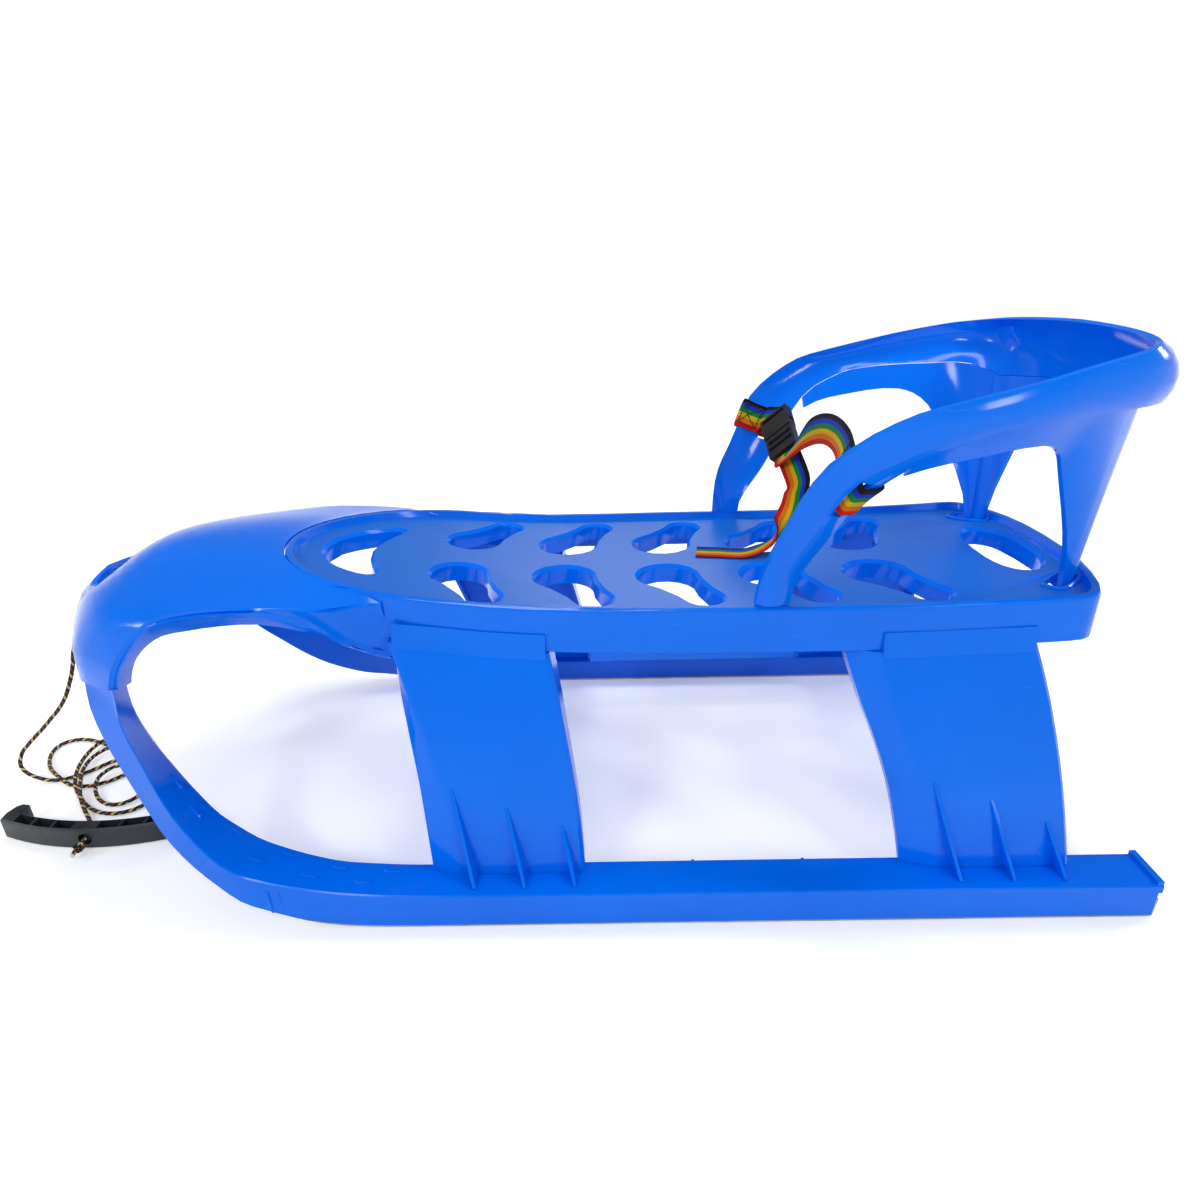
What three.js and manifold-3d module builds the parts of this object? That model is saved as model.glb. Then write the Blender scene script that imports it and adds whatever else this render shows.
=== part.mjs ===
import * as THREE from "three";
import Module from "manifold-3d";

const wasm = await Module();
wasm.setup();

// Driving sizes, in millimetres
const SLED_LENGTH = 927;
const SLED_WIDTH = 424;
const SEAT_HEIGHT = 242;
const BACK_HEIGHT = 197;

// Walls and clearances
const GAP = 0.3;
const SHELL_WALL = 3.2;
const BACK_WALL = 4;
const CUT_EXTRA = 1;

// Seat pan
const SKIRT_DEPTH = 37;
const PAN_DEPTH = 6;
const RIM_WIDTH = 8;
const RIM_ROUND = 3.5;
const SLEEVE_WALL = 2.6;
const SLEEVE_DEPTH = 17;
const HOLE_ROUND = 3;
const COLLAR_WALL = 3;
const COLLAR_HEIGHT = 2.4;
const SOCKET_CLEARANCE = 3;
const SOCKET_SPARE = 14;
const TAIL_RISE = 4;
const TAIL_RISE_REACH = 25;
const LONGEST_EDGE = 85;

// Runners and metal strips
const LIP_OUT = 3;
const LIP_DEPTH = 8;
const LIP_ROUND = 1;
const WINDOW_ROUND = 3;
const WINDOW_CHAMFER = 0.9;
const INNER_ROUND = 1;
const END_WALL = 3;
const TAIL_RIDGE_HEIGHT = 3;
const TAIL_RIDGE_WIDTH = 5;
const TAIL_RIDGE_INSET = 1;
const STRIP_WIDTH = 17;
const STRIP_END_WIDTH = 11;
const STRIP_THICKNESS = 3;
const STRIP_TURN_UP = 15;
const STRIP_NOSE_STEPS = [{ back: 4, rise: 7, lean: -1.1 }, { back: 1, rise: 2, lean: -0.8 }];
const STRIP_START_SHARE = 0.66;
const BUMP_LENGTH = 14;
const BUMP_WIDTH = 4;
const BUMP_HEIGHT = 1.8;
const RIB_THICKNESS = 2.4;
const RIB_INSET_SHARE = 0.02;

// Legs
const LEG_BULGE = 5;
const LEG_STAND_OFF = 3.5;
const LEG_TOP_DEPTH = 32;
const LEG_FOOT_DEPTH = 12;
const LEG_TOP_CHAMFER = 13;
const LEG_FOOT_CHAMFER = 8;
const LEG_FRONT_ROUND = 4;
const LEG_REAR_ROUND = 3;
const LEG_INNER_ROUND = 1;
const APRON_HEIGHT = 16;
const APRON_FOOT = 4;
const APRON_SHOULDER = 5;
const APRON_WALL = 2.4;
const APRON_CLEARANCE = 0.45;
const APRON_DROP = 0.05;
const APRON_EDGE = 1;
const FIN_THICKNESS = 2.6;
const FIN_ROOT = 1.6;
const FIN_TIP = 0.3;
const FIN_FOOT = 1.5;

// Nose
const NOSE_SLOT_LENGTH = 90;
const NOSE_SLOT_WIDTH = 19;
const NOSE_SLOT_BOW = 6;
const NOSE_SCOOP_DEPTH = 15;
const NOSE_SCOOP_REACH = 15;
const ROPE_BORE_POINTS = 6;
const SCOOP_MIDDLE_SHARE = 0.0512;
const SCOOP_LOW_SHARE = 0.82;
const SCOOP_SPREAD_SHARE = 0.62;
const SLOT_MIDDLE_SHARE = 0.0445;
const SLOT_CUT_SHARES = [0.7, 1.3];
const SEAT_CUT_SHARES = [0.6, 1.4];
const HOOD_CENTRE_SHARES = { along: 0.1163, high: 0.5 };
const HOOD_EDGE_SHARE = 0.012;

// Backrest
const BACK_BULGE = 5;
const BACK_CORNER_BULGE = 4;
const BACK_LEDGE = 5;
const BACK_CORNER_LEDGE = 12;
const FLUTE_DEPTH = 3;
const FOOT_BULGE = 4;
const STRAP_SLOT_LENGTH = 36;
const STRAP_SLOT_WIDTH = 11;
const BACK_CENTRE_SHARE = 0.8;
// places along the rim, counted in its measured points
const WALL_START = 9;
const LEDGE_STATIONS = [8.5, 13];
const FOOT_STATIONS = [21, 23];
const FLUTE_STATIONS = [22, 23];
const CORNER_STATION = 22;
const CORNER_SPREAD = 2.6;
// place of the strap's slot, as a share of the whole rim
const SLOT_STATION = 0.134;

// Belt
const WEB_WIDTH = 26;
const WEB_THICKNESS = 1.6;
const WEB_OFF = 2;
const WEB_LAYER = 2.6;
const WEB_STATION_SHARE = 0.0146;
const ARM_STEPS = 6;
const BUCKLE_WIDTH = 32;
const BUCKLE_THICKNESS = 10;
const BUCKLE_WALL = 1.6;
const BUCKLE_SIDE_WALL = 3;
const BUCKLE_LIP = 3.5;
const WEB_SLOT = [2.6, 6.4];
const WEB_SLOT_SIDE = 2.5;
const MALE_INSET = 1;
const LADDER_SLOTS = [[5, 9.5], [13, 17.5]];
const TONGUE_HALF = 2.6;
const TONGUE_INSET = 2.2;
const PRONG_GAP = 0.4;
// one prong: back from its end or share of the buckle's length, then in from the side
const PRONG_TIP = [[0, 8.6], [0, 5.4], [4.2, 4], [5, 0.6]];
const PRONG_ROOT = [[0.35, 0.6], [0.315, 4], [0.27, 4.6], [0.27, 6.4], [0.36, 7.4]];
const FEMALE_SHARE = 0.5;
const ROOM_SHARE = 0.2;
const SIDE_WINDOW_SHARE = 0.3;
const TONGUE_SHARE = 0.26;
const STRAP_START = 2.2;
const STRAP_OUT = 9;
const STRAP_LIFT = 2;
const STRAP_INSIDE = 8;
const TAIL_START = 0.6;
const TAIL_START_DROP = 4.4;
const TAIL_OUT = 7;
const TAIL_DROP = 6;

// Tow line
const ROPE_DIAMETER = 4;
const ROPE_SIDES = 8;
const HANDLE_LENGTH = 176;
const HANDLE_BOW = 17;
const HANDLE_HEIGHT = 22;
const HANDLE_DEPTH = 14;
const HANDLE_HOOK = 9;
const HANDLE_STAND_OFF = 1.5;
const HANDLE_ROUND = 1.4;
const HOOK_OUT = 1;
// hook at each end: in from the end of the bar, then down from the tip
const HOOK_STEPS = [[2, 4], [7, 0], [13, 1], [14, 6]];
const HANDLE_BORE = 12;
const BORE_START = 2;
const BORE_THROUGH = 4;
const ROPE_CLEARANCE = 1.6;
const POCKET_WALL = 2;
const POCKET_DEPTH = 14;
const POCKET_RIB_HALF = 1.2;
const KNOT_DIAMETER = 11;
const KNOT_SHIFT = 1;
const KNOT_DROP = 3;

// Measured points as shares: length from the nose, half width, seat height or back height
const RIM_HEIGHT_SHARES = [
  [0.1748, 1.093], [0.2157, 1.0909], [0.2664, 1.0744], [0.3474, 1.0455], [0.4337, 1.0124],
  [0.4983, 1.0021], [0.6063, 1], [0.7681, 1], [0.8652, 1.0103], [0.9428, 1.0248], [0.9839, 1.0331],
];
const SEAT_HALF_WIDTH_SHARES = [
  [0.3905, 0.5755], [0.4337, 0.5873], [0.4984, 0.6014], [0.5793, 0.6156], [0.6602, 0.6203],
  [0.7681, 0.6226], [0.8759, 0.6226], [0.9245, 0.6217], [0.9342, 0.617], [0.9417, 0.6014],
  [0.9488, 0.566], [0.9558, 0.5047], [0.9622, 0.4057], [0.9666, 0.2925], [0.969, 0.1604],
  [0.9698, 0],
];
const CREST_SHARES = [
  [0.2157, 1.0826], [0.1888, 1.0888], [0.1597, 1.1012], [0.1294, 1.1116], [0.0992, 1.0992],
  [0.0734, 1.0702], [0.0491, 1.0351], [0.0302, 1.0021], [0.0119, 0.8967], [0.0016, 0.7851],
  [0.0, 0.6942],
];
const NOSE_PLAN_SHARES = [
  [0, 1], [0.27, 0.94], [0.5, 0.77], [0.7, 0.6], [0.823, 0.46], [0.93, 0.24], [1, 0],
];
const RIDGE_SHARES = [
  [0.3409, 0.6274, 1.0186], [0.3064, 0.6462, 1.0331], [0.2718, 0.658, 1.0442],
  [0.2362, 0.6604, 1.0475], [0.2028, 0.6604, 1.043], [0.1758, 0.6604, 1.0295],
  [0.1553, 0.6604, 1.0041], [0.1402, 0.6627, 0.9545], [0.1273, 0.6698, 0.8967],
  [0.1175, 0.6816, 0.8388], [0.1133, 0.6934, 0.781],
];
const WINDOW_SHARES = [
  [0.3366, 0.5802, 0.8388], [0.3064, 0.5896, 0.9008], [0.2762, 0.5943, 0.9504],
  [0.2394, 0.5943, 0.9793], [0.205, 0.5943, 0.9752], [0.1769, 0.5943, 0.9607],
  [0.1531, 0.5896, 0.9421], [0.136, 0.5849, 0.905], [0.1219, 0.5802, 0.8554],
  [0.1122, 0.566, 0.8017], [0.1046, 0.5519, 0.7438],
];
const ARM_RIDGE_SHARES = [
  [0.1133, 0.6934, 0.7798], [0.1165, 0.7264, 0.7025], [0.1251, 0.7642, 0.6281],
  [0.1348, 0.7925, 0.5579], [0.1511, 0.8443, 0.4463], [0.1672, 0.8821, 0.3678],
  [0.1834, 0.9104, 0.3058], [0.1996, 0.934, 0.2562], [0.2168, 0.9481, 0.219],
  [0.2394, 0.9599, 0.1963], [0.2675, 0.9717, 0.1798], [0.2955, 0.9811, 0.1674],
  [0.3257, 0.9858, 0.1591], [0.3581, 0.9858, 0.1529], [0.412, 0.9858, 0.1488],
];
const ARM_OUTER_FOOT_SHARES = [
  [0.0701, 0.5708, 0.755], [0.0819, 0.6509, 0.686], [0.096, 0.7075, 0.5785],
  [0.11, 0.75, 0.4959], [0.1289, 0.8066, 0.3926], [0.1492, 0.8632, 0.2934],
  [0.1705, 0.9033, 0.2149], [0.1925, 0.934, 0.1508], [0.214, 0.9623, 0.1033],
  [0.238, 0.9764, 0.0764], [0.265, 0.9858, 0.0475], [0.2935, 0.9858, 0.0269],
  [0.3247, 0.9858, 0.0165], [0.3581, 0.9858, 0.013636], [0.412, 0.9858, 0.013636],
];
const ARM_WINDOW_SHARES = [
  [0.1036, 0.5472, 0.7376], [0.1079, 0.5755, 0.6612], [0.1175, 0.6085, 0.5909],
  [0.1273, 0.6321, 0.5331], [0.1467, 0.6698, 0.4504], [0.165, 0.7028, 0.376],
  [0.1823, 0.7311, 0.314], [0.1996, 0.75, 0.2727], [0.2179, 0.7689, 0.2355],
  [0.2374, 0.7783, 0.2045], [0.2664, 0.7972, 0.1777], [0.2935, 0.8113, 0.1612],
  [0.3247, 0.816, 0.1529], [0.3581, 0.8208, 0.1488], [0.412, 0.8208, 0.1488],
];
const ARM_INNER_FOOT_SHARES = [
  [0.069, 0.4057, 0.719], [0.0819, 0.4623, 0.6612], [0.096, 0.5, 0.5702],
  [0.11, 0.5283, 0.4959], [0.1284, 0.5943, 0.3926], [0.1467, 0.6604, 0.2934],
  [0.165, 0.7217, 0.2149], [0.1845, 0.783, 0.1508], [0.206, 0.8302, 0.1033],
  [0.233, 0.8632, 0.0764], [0.2632, 0.8821, 0.0475], [0.2935, 0.8915, 0.0269],
  [0.3247, 0.8915, 0.0165], [0.3581, 0.8915, 0.013636], [0.412, 0.8915, 0.013636],
];
const BACK_TOP_SHARES = [
  [0.657, 0.592, 0.002], [0.6586, 0.6085, 0.0812], [0.6613, 0.6297, 0.1574],
  [0.665, 0.6462, 0.2183], [0.6694, 0.6533, 0.2741], [0.6764, 0.658, 0.3452],
  [0.6834, 0.6698, 0.4264], [0.6904, 0.6958, 0.5076], [0.699, 0.7311, 0.5838],
  [0.7109, 0.7571, 0.6421], [0.7249, 0.7736, 0.6954], [0.7389, 0.7901, 0.736],
  [0.753, 0.8042, 0.769], [0.7681, 0.8113, 0.7929], [0.7918, 0.809, 0.8208],
  [0.8166, 0.8057, 0.8477], [0.8409, 0.7958, 0.8731], [0.8583, 0.7807, 0.8914],
  [0.8759, 0.7594, 0.9086], [0.8954, 0.7358, 0.9264], [0.9159, 0.7028, 0.9442],
  [0.932, 0.6486, 0.9584], [0.9428, 0.5708, 0.9695], [0.9493, 0.4764, 0.9797],
  [0.9542, 0.3585, 0.9873], [0.9569, 0.2123, 0.9939], [0.9585, 0, 0.999],
];
const BACK_LOW_SHARES = [
  [0.6861, 0.5849, 0.002], [0.6882, 0.5778, 0.0609], [0.6936, 0.5684, 0.1168],
  [0.7006, 0.5675, 0.1675], [0.7087, 0.5708, 0.2234], [0.7168, 0.5778, 0.2868],
  [0.726, 0.5943, 0.3629], [0.7354, 0.6321, 0.4442], [0.746, 0.6863, 0.5152],
  [0.7584, 0.7335, 0.5787], [0.7724, 0.7642, 0.6294], [0.7869, 0.7783, 0.6624],
  [0.7999, 0.7854, 0.6883], [0.8128, 0.7901, 0.7102], [0.8285, 0.7877, 0.7234],
  [0.8436, 0.7807, 0.7325], [0.8608, 0.7618, 0.7391], [0.877, 0.7358, 0.7442],
  [0.8932, 0.7099, 0.7462], [0.9094, 0.684, 0.7503], [0.9277, 0.6509, 0.7523],
  [0.9461, 0.6061, 0.7543], [0.9622, 0.5401, 0.7563], [0.9746, 0.4575, 0.7589],
  [0.9822, 0.3467, 0.7614], [0.9865, 0.2099, 0.764], [0.9881, 0.0, 0.7665],
];
const WALL_EDGE_SHARES = [
  // place along the rim, then x, y and z of the lower edge
  [9, 0.7584, 0.6854, 0.5371], [10, 0.7724, 0.7042, 0.565], [11, 0.7869, 0.7104, 0.5838],
  [12, 0.7999, 0.7094, 0.5949], [13, 0.8128, 0.7061, 0.6056], [14, 0.8285, 0.6981, 0.6193],
  [15, 0.8452, 0.6863, 0.6284], [16, 0.8608, 0.6627, 0.6294], [17, 0.8749, 0.6274, 0.6117],
  [17.7, 0.8846, 0.592, 0.5787], [18.3, 0.8923, 0.5566, 0.5279], [19, 0.9029, 0.5259, 0.4213],
  [19.6, 0.9137, 0.4953, 0.3147], [20.2, 0.9245, 0.4651, 0.1929], [20.7, 0.9331, 0.434, 0.0711],
  [21, 0.9358, 0.4198, -0.0279], [21.7, 0.9401, 0.4175, -0.0279], [22.2, 0.9444, 0.4104, -0.0279],
  [22.7, 0.9471, 0.3915, -0.0279], [23, 0.9488, 0.375, -0.0279], [23.4, 0.9531, 0.3632, 0.132],
  [23.8, 0.9601, 0.3443, 0.2944], [24.3, 0.9671, 0.3231, 0.4569], [24.9, 0.9752, 0.2925, 0.6548],
  [25.3, 0.98, 0.2358, 0.7157], [25.7, 0.9833, 0.1321, 0.731], [26, 0.9844, 0.0, 0.7335],
];
const ROPE_HANG_SHARES = [
  [0.0092, 0, 0.7603], [-0.0037, -0.0002, 0.7566], [-0.0155, 0.001, 0.7363],
  [-0.0241, 0.0027, 0.6997], [-0.0302, 0.0037, 0.6559], [-0.0355, 0.0053, 0.6105],
  [-0.0398, 0.0077, 0.5637], [-0.045, 0.0109, 0.5184], [-0.051, 0.0146, 0.4745],
  [-0.0575, 0.0187, 0.4315], [-0.0645, 0.0235, 0.3903], [-0.0727, 0.0289, 0.3516],
  [-0.0816, 0.0346, 0.3163], [-0.091, 0.0388, 0.2821], [-0.1003, 0.041, 0.248],
  [-0.1099, 0.0437, 0.2146], [-0.1197, 0.0473, 0.182], [-0.1293, 0.0509, 0.1485],
  [-0.1386, 0.0545, 0.1144],
];
const ROPE_LOOP_SHARES = [
  [-0.1407, 0.046, 5.9755], [-0.1417, 0.0355, 5.0297], [-0.1408, 0.0202, 4.1532],
  [-0.137, 0.0016, 3.3463], [-0.1306, -0.0151, 2.6088], [-0.1224, -0.0279, 1.9407],
  [-0.113, -0.0358, 1.3421], [-0.1033, -0.038, 0.8242], [-0.0934, -0.0329, 0.5875],
  [-0.0838, -0.0186, 0.5875], [-0.0751, 0.0046, 0.5875], [-0.0678, 0.0346, 0.5875],
  [-0.0613, 0.068, 0.5875], [-0.0552, 0.1012, 0.5875], [-0.0487, 0.1301, 0.5875],
  [-0.0416, 0.1509, 0.5875], [-0.0341, 0.1602, 0.5875], [-0.0271, 0.1577, 0.5875],
  [-0.0212, 0.1428, 0.5875], [-0.0174, 0.1172, 0.5875], [-0.0161, 0.0846, 0.5875],
  [-0.0175, 0.0488, 0.5875], [-0.0211, 0.0127, 0.5875], [-0.0266, -0.0207, 0.5875],
  [-0.0337, -0.0495, 0.5875], [-0.0421, -0.0714, 0.5875], [-0.0515, -0.0844, 0.5875],
  [-0.0615, -0.0867, 0.5875], [-0.0717, -0.0786, 0.6879], [-0.0816, -0.0614, 1.2272],
  [-0.091, -0.0365, 1.7239], [-0.1001, -0.0063, 1.6148], [-0.1088, 0.0273, 1.2945],
  [-0.1169, 0.0634, 1.0142], [-0.1241, 0.1017, 0.8034], [-0.1301, 0.1414, 0.662],
  [-0.1348, 0.1817, 0.59], [-0.1377, 0.2212, 0.5875], [-0.1381, 0.2584, 0.5875],
  [-0.1356, 0.2902, 0.5875], [-0.1301, 0.3127, 0.5875], [-0.1225, 0.324, 0.5875],
  [-0.1136, 0.3245, 0.5875], [-0.1039, 0.3161, 0.5875], [-0.0941, 0.3005, 0.5875],
  [-0.0842, 0.2802, 0.5875], [-0.0743, 0.2575, 0.5875], [-0.0647, 0.2343, 0.5875],
  [-0.0553, 0.2132, 0.5875], [-0.046, 0.1966, 0.5875], [-0.0373, 0.1871, 0.5875],
  [-0.0294, 0.1862, 0.5875], [-0.0234, 0.1953, 0.5875], [-0.0201, 0.2149, 0.5875],
  [-0.0202, 0.2411, 0.5875], [-0.0233, 0.2687, 0.5875], [-0.0289, 0.2945, 0.5875],
  [-0.0362, 0.316, 0.5875], [-0.0446, 0.3316, 0.6457], [-0.0537, 0.3398, 0.7733],
  [-0.0629, 0.339, 0.9704], [-0.0713, 0.328, 1.237], [-0.0785, 0.3059, 1.553],
  [-0.0836, 0.2734, 1.7725], [-0.0865, 0.2333, 1.703], [-0.0873, 0.1887, 1.6072],
  [-0.0863, 0.1416, 1.5807], [-0.0838, 0.0934, 1.6235], [-0.08, 0.0449, 1.7303],
  [-0.0754, -0.0034, 1.8451], [-0.0699, -0.0508, 1.8559], [-0.0635, -0.0965, 1.6871],
  [-0.0561, -0.138, 1.131], [-0.0477, -0.1761, 0.7365], [-0.0388, -0.2111, 0.5875],
  [-0.0298, -0.2424, 0.5875], [-0.0203, -0.2685, 0.5875], [-0.0105, -0.2871, 0.5875],
  [-0.0005, -0.2964, 0.5875], [0.0091, -0.2952, 0.5875], [0.0178, -0.2836, 0.5875],
  [0.025, -0.2625, 0.5875], [0.0301, -0.2331, 0.5875], [0.0325, -0.1979, 0.5875],
  [0.0319, -0.16, 0.5875], [0.0284, -0.1223, 0.5875], [0.0228, -0.0867, 0.5875],
  [0.0156, -0.0537, 0.5875], [0.0075, -0.0236, 0.7684], [-0.001, 0.0036, 1.1065],
  [-0.0098, 0.0272, 1.5007], [-0.0184, 0.0454, 1.7921], [-0.0267, 0.0554, 1.7347],
  [-0.0341, 0.0535, 1.6279], [-0.0399, 0.0368, 1.5887], [-0.0433, 0.0085, 1.6189],
  [-0.0442, -0.0268, 1.7186], [-0.043, -0.0654, 1.7969], [-0.0398, -0.1047, 1.5989],
  [-0.035, -0.1421, 1.299], [-0.0288, -0.176, 1.0459], [-0.0216, -0.2044, 0.8622],
  [-0.0137, -0.2249, 0.748], [-0.0054, -0.235, 0.7032], [0.0028, -0.2321, 0.7278],
  [0.0101, -0.2167, 0.8219], [0.0158, -0.1909, 0.9855], [0.0194, -0.1571, 1.2185],
  [0.0203, -0.1182, 1.5186], [0.0185, -0.0769, 1.806], [0.0148, -0.035, 1.8605],
  [0.0093, 0.006, 1.7763], [0.0025, 0.0456, 1.7239], [-0.005, 0.0834, 1.7409],
  [-0.0132, 0.1191, 1.8189], [-0.0217, 0.1518, 1.9058], [-0.0306, 0.1804, 1.922],
  [-0.0397, 0.2032, 1.8902], [-0.0487, 0.2183, 1.8819], [-0.0573, 0.2227, 1.8931],
  [-0.0651, 0.214, 1.8082], [-0.071, 0.1919, 1.6938], [-0.0746, 0.1594, 1.633],
  [-0.0759, 0.1201, 1.6415], [-0.0749, 0.0768, 1.7196], [-0.0721, 0.0318, 1.8467],
  [-0.0678, -0.0137, 1.9617], [-0.0622, -0.0593, 2.0795], [-0.0562, -0.1051, 2.171],
  [-0.0499, -0.1513, 2.1421], [-0.043, -0.1966, 1.9843], [-0.0354, -0.2402, 1.7013],
  [-0.0272, -0.2818, 1.3169], [-0.0185, -0.3219, 0.9537], [-0.0096, -0.3613, 0.5875],
  [0.0017, -0.3883, 0.5875], [0.0079, -0.4188, 2.1636], [0.0092, -0.4693, 2.75],
  [0.0087, -0.5259, 2.75],
];
const BUMP_SHARES = [
  // along the bend of the runner, then from its outer to its window edge
  [0.295, 0.69], [0.505, 0.82], [0.665, 0.79], [0.785, 0.7], [0.89, 0.68],
  [0.37, 0.53], [0.59, 0.41], [0.725, 0.31], [0.84, 0.29],
];
const CREST_POWER_SHARE = 2.3;
const BUCKLE_START_SHARES = [0.7206, 0.5425, 0.5228];
const BUCKLE_END_SHARES = [0.7228, 0.3302, 0.3858];
const STRAP_SHARES = [[0.7325, 0.14, 0.5112], [0.7346, -0.12, 0.5883], [0.7303, -0.4, 0.5835]];
const TAIL_SHARES = [
  [0.7325, 0.217, 0.269], [0.7238, 0.151, 0.1254], [0.7033, 0.085, 0.0212], [0.6763, 0.035, -0.0227],
  [0.6473, 0.05, -0.0253], [0.6256, 0.066, -0.0253],
];
const SOLE_HOLE_SHARES = [
  // front centre x, y, radius, then rear outer x, y, radius
  [0.3937, 0.2075, 0.1132, 0.4229, 0.4245, 0.0708],
  [0.493, 0.1981, 0.1226, 0.5221, 0.434, 0.0708],
  [0.5912, 0.1981, 0.1226, 0.6202, 0.434, 0.0708],
  [0.6904, 0.1981, 0.1274, 0.7228, 0.4245, 0.0708],
  [0.7886, 0.1981, 0.1274, 0.8199, 0.434, 0.0755],
];
const CRESCENT_SHARES = { middle: 0.2772, reach: 0.0356, half: 0.283, wide: 0.0453 };
const REAR_HOLE_SHARES = { middle: 0.9277, reach: -0.002, half: 0.2642, wide: 0.0475 };
const SEAT_APEX_SHARE = 0.2206;
const LEG_LEVEL_SHARES = [0, 0.2, 0.4, 0.6, 0.8, 1];
const FRONT_LEG_SHARES = {
  outer: [0.4002, 0.3937, 0.3851, 0.3744, 0.3603, 0.3442],
  inner: [0.3754, 0.3711, 0.3657, 0.3581, 0.3506, 0.3452],
  rear: [0.5102, 0.5081, 0.5037, 0.4973, 0.4908, 0.4832],
  fins: [[0.4154, 0.2892562], [0.4585, 0.2231405], [0.5017, 0.1652893]],
};
const REAR_LEG_SHARES = {
  outer: [0.8199, 0.8091, 0.7972, 0.7853, 0.7735, 0.7616],
  inner: [0.7864, 0.781, 0.7735, 0.7616, 0.7475, 0.7368],
  rear: [0.931, 0.9256, 0.9201, 0.9137, 0.9062, 0.8964],
  fins: [[0.8296, 0.2892562], [0.8749, 0.231405], [0.9181, 0.1570248]],
};
const LEG_FOOT_Y_SHARE = 0.8868;
const FIN_REACH_SHARE = 0.967;
const FIN_LEAN_SHARE = 0.26;
const APRON_START_SHARE = 0.97;

const alongX = (share) => (share - 0.5) * SLED_LENGTH;
const acrossY = (share) => (share * SLED_WIDTH) / 2;
const upZ = (share) => share * SEAT_HEIGHT;
const backZ = (share) => SEAT_HEIGHT + share * BACK_HEIGHT;
const vec = (x, y, z) => new THREE.Vector3(x, y, z);
const mix = (a, b, t) => a + (b - a) * t;
const clamp01 = (t) => Math.min(1, Math.max(0, t));
const ease = (t) => clamp01(t) * clamp01(t) * (3 - 2 * clamp01(t));

// A smooth function through measured pairs, by slope at each point
function profile(pairs) {
  const slopes = pairs.map((p, i) => {
    const a = pairs[Math.max(0, i - 1)];
    const b = pairs[Math.min(pairs.length - 1, i + 1)];
    return (b[1] - a[1]) / (b[0] - a[0]);
  });
  return (x) => {
    if (x <= pairs[0][0]) return pairs[0][1];
    const last = pairs.length - 1;
    if (x >= pairs[last][0]) return pairs[last][1];
    let i = 0;
    while (x > pairs[i + 1][0]) i++;
    const h = pairs[i + 1][0] - pairs[i][0];
    const t = (x - pairs[i][0]) / h;
    const rise = t * t * (3 - 2 * t);
    const lead = t * (1 - t) * (1 - t) * h * slopes[i];
    const trail = t * t * (1 - t) * h * slopes[i + 1];
    return mix(pairs[i][1], pairs[i + 1][1], rise) + lead - trail;
  };
}

// A smooth line through points, read from 0 to 1
function line(points) {
  const curve = new THREE.CatmullRomCurve3(points, false, "centripetal");
  return (t) => curve.getPoint(clamp01(t));
}

function volumeOf(solid) {
  let sum = 0;
  for (const [a, b, c] of solid.faces) {
    const p = solid.points[a];
    const q = solid.points[b];
    const r = solid.points[c];
    sum += p.dot(q.clone().cross(r));
  }
  return sum / 6;
}

function facingOut(solid) {
  if (volumeOf(solid) < 0) solid.faces = solid.faces.map(([a, b, c]) => [a, c, b]);
  return solid;
}

// Triangles that fill one ring, every point of it kept
function endFaces(ring) {
  const n = ring.length;
  const normal = vec(0, 0, 0);
  ring.forEach((p, i) => {
    const q = ring[(i + 1) % n];
    normal.add(vec((p.y - q.y) * (p.z + q.z), (p.z - q.z) * (p.x + q.x), (p.x - q.x) * (p.y + q.y)));
  });
  normal.normalize();
  const side = Math.abs(normal.z) > 0.8 ? vec(1, 0, 0) : vec(0, 0, 1);
  const u = side.cross(normal).normalize();
  const w = normal.clone().cross(u);
  const flat = ring.map((p) => new THREE.Vector2(p.dot(u), p.dot(w)));
  const area = (a, b, c) => THREE.ShapeUtils.area([flat[a], flat[b], flat[c]]);
  const left = flat.map((_, i) => i);
  const faces = [];
  const blocked = (a, b, c) =>
    left.some(
      (k) => ![a, b, c].includes(k) && area(a, b, k) >= 0 && area(b, c, k) >= 0 && area(c, a, k) >= 0,
    );
  while (left.length > 3) {
    let best = -1;
    let score = -Infinity;
    left.forEach((b, i) => {
      const a = left[(i + left.length - 1) % left.length];
      const c = left[(i + 1) % left.length];
      const size = area(a, b, c);
      if (size < 1e-9 || blocked(a, b, c)) return;
      const reach = flat[a].distanceToSquared(flat[c]);
      const value = -reach;
      if (value > score) {
        score = value;
        best = i;
      }
    });
    if (best < 0) {
      let thin = Infinity;
      left.forEach((b, i) => {
        const a = left[(i + left.length - 1) % left.length];
        const c = left[(i + 1) % left.length];
        const size = Math.abs(area(a, b, c));
        if (size < thin) {
          thin = size;
          best = i;
        }
      });
    }
    const a = left[(best + left.length - 1) % left.length];
    const c = left[(best + 1) % left.length];
    faces.push([a, left[best], c]);
    left.splice(best, 1);
  }
  faces.push([...left]);
  return faces;
}

// Closed solid through rings of points, with flat or nearly flat ends
function loft(rings) {
  const n = rings[0].length;
  const points = rings.flat();
  const faces = [];
  for (let i = 0; i + 1 < rings.length; i++) {
    for (let j = 0; j < n; j++) {
      const a = i * n + j;
      const b = i * n + ((j + 1) % n);
      faces.push([a, b, b + n], [a, b + n, a + n]);
    }
  }
  const cap = (ring, start, flip) => {
    for (const [a, b, c] of endFaces(ring)) {
      faces.push(flip ? [start + a, start + c, start + b] : [start + a, start + b, start + c]);
    }
  };
  cap(rings[0], 0, true);
  cap(rings[rings.length - 1], (rings.length - 1) * n, false);
  return facingOut({ points, faces });
}

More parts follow.
